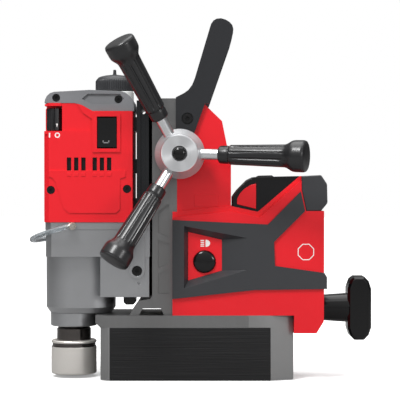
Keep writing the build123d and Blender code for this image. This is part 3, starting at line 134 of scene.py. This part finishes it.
NICKEL = material("nickel", (240, 236, 230), 0.26, metallic=0.8, grain=260, mottle=0.03, bump=0.015,
                  stretch=(0.15, 0.15, 1.2))
ARBOR = material("arbor_steel", (92, 88, 86), 0.2, metallic=1.0, grain=300, bump=0.02)
RUBBER = material("overmold", (50, 51, 54), 0.42, grain=1700, bump=0.3, mottle=0.07, specular=0.5)
GRIP = material("grip_rubber", (22, 22, 24), 0.3, grain=1400, bump=0.08, mottle=0.06, specular=0.6)
HANDLE = material("handle_black", (35, 36, 39), 0.3, grain=1500, bump=0.12, mottle=0.1, specular=0.45)
GLOSS = material("lever_black", (9, 9, 10), 0.14, grain=1200, bump=0.05, mottle=0.06, specular=0.35)
PLASTIC = material("black_plastic", (26, 26, 28), 0.4, grain=1300, bump=0.16, mottle=0.06, specular=0.45)
CAP = material("cap_grey", (124, 125, 128), 0.34, grain=1300, bump=0.14, mottle=0.04, specular=0.4)
PACK = material("pack_black", (14, 14, 16), 0.22, grain=1300, bump=0.08, mottle=0.06, specular=0.35)
BOARD = material("board_green", (30, 96, 58), 0.4)
CELL = material("cell_blue", (52, 92, 150), 0.35)
COPPER = material("winding", (150, 92, 60), 0.45, metallic=0.6)
BOTTLE = material("bottle_white", (232, 234, 232), 0.38, grain=700, bump=0.05)
FITTING = material("fitting_metal", (200, 194, 184), 0.26, metallic=1.0, grain=500)
LAMP = material("gloss_black", (9, 9, 10), 0.16, grain=800, bump=0.01, specular=0.4)
WHITE = material("white_mark", (244, 240, 238), 0.5, grain=900)
CAP_DARK = material("bottle_cap", (44, 45, 48), 0.42, grain=1200, bump=0.1, mottle=0.05)
HOSE = material("clear_hose", (205, 212, 216), 0.16, grain=600, bump=0.02, mottle=0.05)
hose_shader = HOSE.node_tree.nodes["Principled BSDF"]
hose_shader.inputs["Transmission Weight"].default_value = 0.75
hose_shader.inputs["IOR"].default_value = 1.25

SLOT_LOOKS = {
    "cast_grey": CAST, "column_grey": COLUMN, "magnet_black": MAGNET, "pole_brass": BRASS, "rail_steel": RAIL,
    "shaft_steel": STEEL, "bolt_black": BOLT, "polished_chrome": CHROME, "nickel_steel": NICKEL,
    "arbor_steel": ARBOR, "red_shell": RED, "black_overmold": RUBBER, "grip_rubber": GRIP,
    "black_plastic": PLASTIC, "cap_grey": CAP, "case_black": PACK, "board_green": BOARD, "cell_blue": CELL,
    "winding_copper": COPPER, "bottle_white": BOTTLE, "hose_clear": HOSE, "fitting_metal": FITTING,
    "lamp_black": LAMP,
}
node_slot = {part["node"]: part["material_slot"] for part in frame["record"]["subparts"]}
for name, cad in nodes.items():
    cad.data.materials.clear()
    cad.data.materials.append(SLOT_LOOKS[node_slot[name]])


# ---------------------------------------------------------------- making pieces
def body_of_node(name):
    return next(body for body, members in frame["record"]["behaviour"]["bodies"].items() if name in members)


def finish_piece(obj, body, mat=None, replaces=()):
    """Gives a new piece its finish, its body and the CAD nodes it stands for."""
    if mat is not None:
        obj.data.materials.clear()
        obj.data.materials.append(mat)
    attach(obj, body)
    for name in replaces:
        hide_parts(name)
    return obj


def object_from(bm, name, smooth=40):
    mesh = bpy.data.meshes.new(name)
    bm.to_mesh(mesh)
    bm.free()
    for face in mesh.polygons:
        face.use_smooth = True
    obj = bpy.data.objects.new(name, mesh)
    scene.collection.objects.link(obj)
    mesh.set_sharp_from_angle(angle=math.radians(smooth))
    weigh_normals(mesh, math.cos(math.radians(smooth)))
    return obj


def weigh_normals(mesh, nearest):
    """Shading normals weighted by face area, so that flat faces stay flat between rounded edges."""
    meeting = [[] for _ in mesh.vertices]
    for face in mesh.polygons:
        for vertex in face.vertices:
            meeting[vertex].append(face.index)
    normals = [face.normal.copy() for face in mesh.polygons]
    areas = [face.area for face in mesh.polygons]
    shading = []
    for face in mesh.polygons:
        own = normals[face.index]
        for vertex in face.vertices:
            total = Vector((0, 0, 0))
            for other in meeting[vertex]:
                if normals[other].dot(own) > nearest:
                    total += normals[other] * areas[other]
            shading.append(total.normalized() if total.length > 0 else own)
    mesh.normals_split_custom_set(shading)


def turned(mat, axis, roughness):
    """Fine turning marks round an axis: the shine spreads across them."""
    shader = mat.node_tree.nodes["Principled BSDF"]
    round_it = mat.node_tree.nodes.new("ShaderNodeTangent")
    round_it.direction_type = "RADIAL"
    round_it.axis = axis
    mat.node_tree.links.new(round_it.outputs["Tangent"], shader.inputs["Tangent"])
    shader.inputs["Anisotropic"].default_value = 0.8
    gloss = shader.inputs["Roughness"].links[0].from_node
    gloss.inputs["To Min"].default_value = roughness - 0.04
    gloss.inputs["To Max"].default_value = roughness + 0.04
    return mat


def soften(bm, width, angle=28, segments=3, skip=None):
    """Rounds the sharp edges of a mesh, width in millimetres, but not those whose middle skip() picks."""
    bmesh.ops.remove_doubles(bm, verts=bm.verts, dist=1e-5)
    bmesh.ops.dissolve_limit(bm, angle_limit=math.radians(1.0), verts=bm.verts, edges=bm.edges)
    sharp = [e for e in bm.edges if len(e.link_faces) == 2 and e.calc_face_angle(0) > math.radians(angle)]
    if skip:
        sharp = [e for e in sharp if not skip((e.verts[0].co + e.verts[1].co) / (2 * MM))]
    bmesh.ops.bevel(bm, geom=sharp, offset=width * MM, segments=segments, profile=0.5, affect="EDGES",
                    clamp_overlap=True, harden_normals=False)


def refined(node, width, mat=None, angle=28, segments=3, smooth=35, skip=None):
    """The CAD node's own shape with its edges rounded, shown in the node's place."""
    bm = bmesh.new()
    bm.from_mesh(nodes[node].data)
    soften(bm, width, angle, segments, skip)
    obj = object_from(bm, node + "_soft", smooth)
    return finish_piece(obj, body_of_node(node), mat or SLOT_LOOKS[node_slot[node]], [node])


# ---------------------------------------------------------------- coolant hose
HOSE_POINTS = [
    (-127.5, -49.5, 154.9), (-142, -51.5, 151), (-158.5, -43, 145.5), (-168, -22, 141), (-168.5, 4, 139),
    (-162, 30, 139), (-148, 49, 142), (-130, 59, 149), (-112, 62, 166), (-112, 62, 188),
]
hose_curve = bpy.data.curves.new("coolant_hose_tube", "CURVE")
hose_curve.dimensions = "3D"
hose_curve.bevel_depth = 2.5 * MM
hose_curve.bevel_resolution = 6
hose_curve.resolution_u = 16
hose_spline = hose_curve.splines.new("NURBS")
hose_spline.points.add(len(HOSE_POINTS) - 1)
for point, spot in zip(hose_spline.points, HOSE_POINTS):
    point.co = (spot[0] * MM, spot[1] * MM, spot[2] * MM, 1)
hose_spline.order_u = 3
hose_spline.use_endpoint_u = True
hose = bpy.data.objects.new("coolant_hose_tube", hose_curve)
scene.collection.objects.link(hose)
finish_piece(hose, "carriage", HOSE, ["coolant_hose"])

# ---------------------------------------------------------------- softened castings and shells
def inside_shell(spot):
    """The hidden edges inside the near motor shell, and its rocker's pin sockets."""
    return -150.5 < spot.x < -67 and spot.y > -41.4 and 161 < spot.z < 277


refined("base_column", 0.9)
refined("magnet_poles", 0.5)
refined("front_end_plate", 0.6, END)
refined("rear_end_block", 0.6, END)
refined("housing_near", 1.2)
refined("housing_far", 1.4)
refined("overmold_near", 1.7, segments=2)
refined("overmold_far", 1.7, segments=2)
refined("rear_bumper", 1.3)
refined("pole_spacers", 0.2)
refined("light_panel", 0.3)
refined("handle", 6.5, HANDLE, angle=40, segments=5)
refined("gearbox_body", 1.2)
refined("gearbox_cover", 0.6)
refined("spindle_nose", 0.5)
refined("motor_shell_near", 0.55, skip=inside_shell)
refined("motor_shell_far", 0.9)
refined("top_cap", 1.8, angle=32)
refined("slide_rail", 0.5)
refined("head_spacers", 0.4)
refined("work_light", 0.5)
refined("battery_case_near", 1.5)
refined("battery_case_far", 1.5)
refined("battery_accents", 0.3)
refined("lever_knob", 1.2, GLOSS, segments=2)
refined("arbor", 0.3)
refined("rocker_switch", 0.5)
refined("coolant_bottle", 1.5)


# ---------------------------------------------------------------- turned pieces
def lathe(name, profile, start, direction, segments=128, shape=None, closed=False, smooth=40):
    """A turned surface: (distance along the axis, radius) pairs in millimetres about an axis."""
    direction = Vector(direction).normalized()
    side = direction.cross(Vector((0.3, 0.2, 1.0))).normalized()
    up = direction.cross(side)
    start = Vector(start)
    bm = bmesh.new()
    rings = []
    for along, radius in profile:
        if radius < 1e-6:
            rings.append([bm.verts.new((start + direction * along) * MM)])
            continue
        ring = []
        for k in range(segments):
            angle = 2 * math.pi * k / segments
            r = shape(along, angle, radius) if shape else radius
            spot = start + direction * along + (side * math.cos(angle) + up * math.sin(angle)) * r
            ring.append(bm.verts.new(spot * MM))
        rings.append(ring)
    pairs = list(zip(rings, rings[1:]))
    if closed:
        pairs.append((rings[-1], rings[0]))
    for low, high in pairs:
        for k in range(segments):
            n = (k + 1) % segments
            if len(low) == 1 and len(high) > 1:
                bm.faces.new((low[0], high[k], high[n]))
            elif len(high) == 1 and len(low) > 1:
                bm.faces.new((low[k], high[0], low[n]))
            elif len(low) > 1:
                bm.faces.new((low[k], high[k], high[n], low[n]))
    bmesh.ops.recalc_face_normals(bm, faces=bm.faces)
    return object_from(bm, name, smooth)


def joined(name, pieces):
    """Several pieces as one object."""
    bm = bmesh.new()
    for piece in pieces:
        bm.from_mesh(piece.data)
        bpy.data.objects.remove(piece)
    return object_from(bm, name)


PINION_X, PINION_Z = -17.0, 226.8
SPINDLE_X = -126.5
SPOKES_Y = -61
SPOKE_TILT = math.radians(18)
SPOKES = [math.radians(-1.5 + 120 * k) for k in range(3)]
FLUTES = 10
FLUTE_START, FLUTE_END = 53, 108
FLUTE_DEPTH = 0.95
FLUTE_HALF = 1.25
FLUTE_FADE = 3


def spoke_direction(angle):
    """The direction of a spoke at an angle round the hub, leaning towards the hand."""
    reach = math.cos(SPOKE_TILT)
    return (reach * math.cos(angle), -math.sin(SPOKE_TILT), reach * math.sin(angle))


def fluted(along, angle, radius):
    """Narrow grooves along the middle of a grip."""
    if not FLUTE_START < along < FLUTE_END:
        return radius
    fade = min(1, (along - FLUTE_START) / FLUTE_FADE, (FLUTE_END - along) / FLUTE_FADE)
    step = 2 * math.pi / FLUTES
    off = abs((angle + step / 2) % step - step / 2) * radius
    return radius - FLUTE_DEPTH * fade * max(0.0, 1 - (off / FLUTE_HALF) ** 2)


GRIP_PROFILE = [
    (41, 5.5), (41, 7.3), (41.6, 8.2), (42.8, 8.8), (49.4, 9.0), (50.2, 8.5), (51.2, 8.4), (51.9, 9.2),
    (53, 9.8),
    *[(54 + 2 * k, 9.85 + 0.05 * k) for k in range(27)],
    (107.5, 11.2), (109.5, 11.7), (112, 13.1), (114, 14.4), (116, 15.2), (118.5, 15.5), (125.5, 15.6),
    (126.6, 15.5), (127.2, 15.1), (127.6, 15.2), (128.4, 14.8), (129, 13.8), (129.4, 12), (129.7, 9),
    (129.9, 5),
    (130, 0)]
SPOKES_START = (PINION_X, SPOKES_Y, PINION_Z)
grips = [lathe("grip", GRIP_PROFILE, SPOKES_START, spoke_direction(spoke), 160, fluted) for spoke in SPOKES]
finish_piece(joined("spoke_grips_turned", grips), "feed", GRIP, ["spoke_grips"])

# the hub's face carries fine turned rings, and its flank beyond FLANK_END has a satin finish
FACE_RINGS = []
for k in range(13):
    FACE_RINGS += [(-79.9, 17.4 - 0.75 * k), (-80.0, 17.05 - 0.75 * k)]
HUB = [
    (-56, 8.1), (-56, 24), (-56.4, 24.6), (-57.2, 24.8), (-60.2, 24.8), (-61, 24.6), (-77.2, 19.1),
    (-78.4, 18.7),
    (-79.3, 18.5), (-79.8, 18.1), *FACE_RINGS, (-80, 7.6), (-79.6, 7.2), (-73.5, 7.2), (-73.5, 8.1)]
FLANK_END = -78.6
HUB_METAL = material("hub_metal", (232, 233, 235), 0.3, metallic=1.0, grain=500, mottle=0.03, bump=0.01)
HUB_FLANK = material("hub_flank", (196, 197, 199), 0.45, metallic=0.55, grain=500, mottle=0.03, bump=0.01)
turned(HUB_METAL, "Y", 0.3)
hub = lathe("feed_hub_turned", HUB, (PINION_X, 0, PINION_Z), (0, 1, 0), 144, closed=True)
finish_piece(hub, "feed", HUB_METAL, ["feed_hub"])
hub.data.materials.append(HUB_FLANK)
for face in hub.data.polygons:
    if face.center.y > FLANK_END * MM:
        face.material_index = 1

BUTTON = [
    (-77.2, 0), (-77.2, 6.4), (-80.6, 6.4), (-81.6, 6.1), (-82.4, 5.3), (-83, 4), (-83.3, 2.2), (-83.4, 0)]
button = lathe("hub_button_dome", BUTTON, (PINION_X, 0, PINION_Z), (0, 1, 0), 72)
finish_piece(button, "hub_button", LAMP, ["hub_button"])

LIGHT_X, LIGHT_Z = 7.5, 119.1
DOME_PROFILE = [
    (-36.9, 0), (-36.9, 11), (-39.6, 11), (-40.6, 10.8), (-41.4, 10), (-42, 8.2), (-42.5, 5.6), (-42.7, 2.8),
    (-42.8, 0)]
light_dome = lathe("light_button_dome", DOME_PROFILE, (LIGHT_X, 0, LIGHT_Z), (0, 1, 0), 96)
finish_piece(light_dome, "light_button", LAMP, ["light_button"])

# the collar's groove takes the dark arbor steel, painted shade for the shadow in the groove
COLLAR = [
    (2.9, 13.3), (2.9, 21.6), (3.2, 22.4), (3.9, 23.1), (5, 23.2), (30.4, 23.2), (30.9, 23.0), (31.2, 22.3),
    (31.6, 22.1), (34.2, 22.1), (34.6, 22.3), (34.8, 22.9), (35.2, 23.2), (36.2, 23.2), (37.2, 22.6),
    (37.8, 21.6), (37.8, 17.45), (5.9, 17.45), (5.9, 13.3)]
GROOVE_LOW, GROOVE_HIGH = 30.8, 34.7
turned(NICKEL, "Z", 0.34)
collar = lathe("arbor_collar_turned", COLLAR, (SPINDLE_X, 0, 0), (0, 0, 1), 144, closed=True)
finish_piece(collar, "collar", NICKEL, ["arbor_collar"])
collar.data.materials.append(ARBOR)
for face in collar.data.polygons:
    height = sum(collar.data.vertices[v].co.z for v in face.vertices) / len(face.vertices) / MM
    if GROOVE_LOW < height < GROOVE_HIGH:
        face.material_index = 1

FILLER = (-88, 64, 0)
KNURLS = 60
KNURL_DEPTH = 0.55
KNURL_LOW, KNURL_HIGH = 297, 309
CAP_RIM = 18


def knurled(along, angle, radius):
    """Upright ridges round the filler cap."""
    if not KNURL_LOW < along < KNURL_HIGH or radius < CAP_RIM:
        return radius
    return radius - KNURL_DEPTH * (0.5 + 0.5 * math.cos(KNURLS * angle)) ** 2


CAP_PROFILE = [
    (296, 15.3), (296, 19.9), (296.4, 20.3), (297.2, 20.4), (298, 20.5), (301, 20.5), (304, 20.5),
    (306.6, 20.4),
    (307.8, 19.6), (309.2, 18.4), (310.6, 17.2), (311.6, 14.6), (312.6, 10.5), (313.3, 5), (313.6, 2.6),
    (314, 1.9), (316, 1.7), (318.4, 1.6), (318.9, 1.2), (319, 0)]
cap_top = lathe("coolant_cap_turned", CAP_PROFILE, FILLER, (0, 0, 1), 240, knurled)
cap_bore = lathe("cap_bore", [(296, 15.3), (309, 15.3), (309, 0)], FILLER, (0, 0, 1), 240)
finish_piece(joined("coolant_cap_knurled", [cap_top, cap_bore]), "coolant_cap", CAP_DARK,
             ["coolant_cap"])


# ---------------------------------------------------------------- marks and small mouldings
def prism(outline, y_face, depth):
    """An upright slab from a side outline in X and Z, its face at y_face and its back deeper by depth."""
    bm = bmesh.new()
    front = [bm.verts.new((x * MM, y_face * MM, z * MM)) for x, z in outline]
    back = [bm.verts.new((x * MM, (y_face + depth) * MM, z * MM)) for x, z in outline]
    bm.faces.new(front)
    bm.faces.new(back[::-1])
    for k in range(len(outline)):
        n = (k + 1) % len(outline)
        bm.faces.new((front[k], back[k], back[n], front[n]))
    bmesh.ops.recalc_face_normals(bm, faces=bm.faces)
    return bm


def mark(name, outlines, y_face, depth, body, mat=None, width=0.0):
    """Thin slabs on one face as one piece, with their edges rounded where a width is given."""
    bm = bmesh.new()
    for outline in outlines:
        piece = prism(outline, y_face, depth)
        if width:
            soften(piece, width, 40, 2)
        mesh = bpy.data.meshes.new("piece")
        piece.to_mesh(mesh)
        piece.free()
        bm.from_mesh(mesh)
        bpy.data.meshes.remove(mesh)
    return finish_piece(object_from(bm, name), body, mat or WHITE)


def bar(x, z, wide, high):
    """The outline of an upright rectangle about its middle."""
    left, right = x - wide / 2, x + wide / 2
    low, top = z - high / 2, z + high / 2
    return [(left, low), (right, low), (right, top), (left, top)]


def around(x, z, radius, angle):
    return (x + radius * math.cos(angle), z + radius * math.sin(angle))


def ring_parts(x, z, outer, inner, count, turn=0.0):
    """A ring as a row of four-sided pieces."""
    spots = [2 * math.pi * k / count + turn for k in range(count + 1)]
    return [
        [around(x, z, outer, a), around(x, z, outer, b), around(x, z, inner, b), around(x, z, inner, a)]
        for a, b in zip(spots, spots[1:])
    ]


# the I and O beside the rotary switch, and an octagon outline on the body's side
SHELL_MARK_Y = -42.1
SWITCH_MARKS = [bar(-147.4, 245.8, 1.3, 4.8), *ring_parts(-139.6, 245.8, 2.7, 1.6, 24)]
mark("switch_marks", SWITCH_MARKS, SHELL_MARK_Y, 0.15, "carriage")
mark("stop_mark", ring_parts(108.8, 129.1, 8.8, 7.9, 8, math.pi / 8), -44.62, 0.2, "base")

# a lamp with four rays, above the lamp button
LAMP_X, LAMP_Z = 8.6, 137.6
DOME = [(LAMP_X, LAMP_Z - 3.6), (LAMP_X, LAMP_Z + 3.6)]
for k in range(1, 12):
    turn = math.radians(90 - 15 * k)
    DOME.append((LAMP_X + 4.6 * math.cos(turn), LAMP_Z + 3.6 * math.sin(turn)))
RAYS = [bar(LAMP_X - 3.2, LAMP_Z + 1.9 * k, 3.6, 1.0) for k in (-1.5, -0.5, 0.5, 1.5)]
mark("lamp_symbol", [DOME, *RAYS], -38.75, 0.2, "base")

# a shallow cup shape at the foot of the rocker
ROCKER_X = -91
ROCKER_MARKS = [bar(ROCKER_X, 238.3, 4.6, 1.1), *[bar(ROCKER_X + x, 239.6, 1.0, 2.0) for x in (-2.8, 2.8)]]
mark("rocker_marks", ROCKER_MARKS, -42.7, 0.3, "rocker_switch", mat=CAST)

# a plain red plate with cut corners on the near housing
PLATE_X, PLATE_Z = 9.5, 180.3
PLATE_CORNERS = [
    (-11, -6.1), (11, -6.1), (12.3, -4.9), (12.3, 4.9), (11, 6.1), (-11, 6.1), (-12.3, 4.9), (-12.3, -4.9)]
PLATE = [(PLATE_X + x, PLATE_Z + z) for x, z in PLATE_CORNERS]
mark("badge_plate", [PLATE], -36.45, 0.6, "base", RED, 0.25)

# the vents have raised sills below them, and a dark sheet behind them is painted shade for their shadowed
# insides
VENTS = (-128.0, -120.8, -113.6, -102.3, -95.1, -87.9)
VENT_SILLS = [bar(x, 206.4, 4.6, 3.6) for x in VENTS]
VENT_SHADE_SHEET = [(-131, 208), (-85, 208), (-85, 225), (-131, 225)]
mark("vent_sills", VENT_SILLS, -43.6, 0.8, "carriage", RED, 0.35)
mark("vent_painted_shade", [VENT_SHADE_SHEET], -38.8, 0.5, "carriage", BOLT)

# rotary switch: a ribbed drum with a pointer that stands at the O mark
SWITCH_X, SWITCH_Y = -143.5, -31.5
POINTER_TURN = math.radians(19.5)
DRUM_RIBS = 22
DRUM_RIB_DEPTH = 0.5


def ribbed(along, angle, radius):
    """Upright ridges round the switch drum."""
    if not 252 < along < 271 or radius < 7:
        return radius
    return radius - DRUM_RIB_DEPTH * (0.5 + 0.5 * math.cos(DRUM_RIBS * angle)) ** 2


def turn_to_mark(bm):
    """Moves a shape made about the origin to the switch, turned with its pointer."""
    place = Matrix.Translation((SWITCH_X * MM, SWITCH_Y * MM, 0))
    bm.transform(place @ Matrix.Rotation(POINTER_TURN, 4, "Z"))


DRUM = [
    (247.5, 0), (247.5, 4), (250.4, 4), (250.4, 7.2), (250.9, 7.6), (253, 7.7), (262, 7.7), (271, 7.7),
    (272.5, 7.5), (273, 6.9), (273, 0)]
drum = lathe("drum", DRUM, (SWITCH_X, SWITCH_Y, 0), (0, 0, 1), 132, ribbed)
pointer_shape = prism([(-2.1, 250.6), (2.1, 250.6), (2.1, 272.6), (-2.1, 272.6)], -10.2, 9)
soften(pointer_shape, 0.7, 40, 2)
turn_to_mark(pointer_shape)
switch = joined("power_switch_drum", [drum, object_from(pointer_shape, "pointer")])
finish_piece(switch, "power_switch", PLASTIC, ["power_switch"])
arrow_shape = prism([(-1.0, 257.4), (0.0, 253.6), (1.0, 257.4)], -10.35, 0.3)
turn_to_mark(arrow_shape)
finish_piece(object_from(arrow_shape, "switch_arrow"), "power_switch", WHITE)

# ---------------------------------------------------------------- floor and light
floor_mesh = bpy.data.meshes.new("floor")
floor_mesh.from_pydata([(-6, -3, 0), (6, -3, 0), (6, 8, 0), (-6, 8, 0)], [], [(0, 1, 2, 3)])
floor = bpy.data.objects.new("floor", floor_mesh)
scene.collection.objects.link(floor)
floor.location.z = -0.0003
floor_look = material("pale_floor", (250, 250, 250), 0.9, grain=20, mottle=0.005, bump=0.0)
floor_tree = floor_look.node_tree
floor_shader = floor_tree.nodes["Principled BSDF"]
floor_sight = floor_tree.nodes.new("ShaderNodeLightPath")
floor_tone = floor_tree.nodes.new("ShaderNodeMix")
floor_tone.data_type = "RGBA"
floor_tone.inputs["A"].default_value = (0.3, 0.3, 0.3, 1)
floor_tone.inputs["B"].default_value = (0.97, 0.97, 0.97, 1)
floor_tree.links.new(floor_sight.outputs["Is Camera Ray"], floor_tone.inputs["Factor"])
floor_tree.links.new(floor_tone.outputs["Result"], floor_shader.inputs["Base Color"])
floor_tree.links.new(floor_sight.outputs["Is Camera Ray"], floor_shader.inputs["Emission Strength"])
floor_shader.inputs["Emission Color"].default_value = (0.3, 0.3, 0.3, 1)
floor.data.materials.append(floor_look)

world = bpy.data.worlds.new("studio")
scene.world = world
world.use_nodes = True
sky = world.node_tree
background = sky.nodes["Background"]
background.inputs["Strength"].default_value = 1.0
toward = sky.nodes.new("ShaderNodeTexCoord")
parts = sky.nodes.new("ShaderNodeSeparateXYZ")
sky.links.new(toward.outputs["Generated"], parts.inputs["Vector"])
glow = sky.nodes.new("ShaderNodeMath")
glow.operation = "ADD"
for slot, (axis, reach, low, high) in enumerate((("Z", 0.9, 0.03, 0.6), ("Y", -1.0, 0.0, 0.44))):
    ramp = sky.nodes.new("ShaderNodeMapRange")
    ramp.inputs["From Min"].default_value = 0.0
    ramp.inputs["From Max"].default_value = reach
    ramp.inputs["To Min"].default_value = low
    ramp.inputs["To Max"].default_value = high
    sky.links.new(parts.outputs[axis], ramp.inputs["Value"])
    sky.links.new(ramp.outputs["Result"], glow.inputs[slot])
sight = sky.nodes.new("ShaderNodeLightPath")
backdrop = sky.nodes.new("ShaderNodeMix")
backdrop.inputs["B"].default_value = 1.0
sky.links.new(sight.outputs["Is Camera Ray"], backdrop.inputs["Factor"])
sky.links.new(glow.outputs["Value"], backdrop.inputs["A"])
sky.links.new(backdrop.outputs["Result"], background.inputs["Color"])
scene.view_settings.view_transform = "Standard"


def lamp(name, place, target, size, power, height=None):
    data = bpy.data.lights.new(name, "AREA")
    data.energy = power
    data.size = size
    if height:
        data.shape = "RECTANGLE"
        data.size_y = height
    obj = bpy.data.objects.new(name, data)
    scene.collection.objects.link(obj)
    obj.location = place
    obj.rotation_euler = (Vector(target) - Vector(place)).to_track_quat("-Z", "Y").to_euler()


lamp("key", (-0.6, -1.1, 1.6), (0, 0, 0.15), 0.5, 22)
lamp("fill", (1.3, -1.4, 0.6), (0, 0, 0.15), 0.35, 6)
lamp("top", (0.0, 0.3, 1.6), (0, 0, 0.2), 1.2, 6)
sun_data = bpy.data.lights.new("high_sun", "SUN")
sun_data.energy = 1.5
sun_data.angle = 1.2
sun = bpy.data.objects.new("high_sun", sun_data)
scene.collection.objects.link(sun)
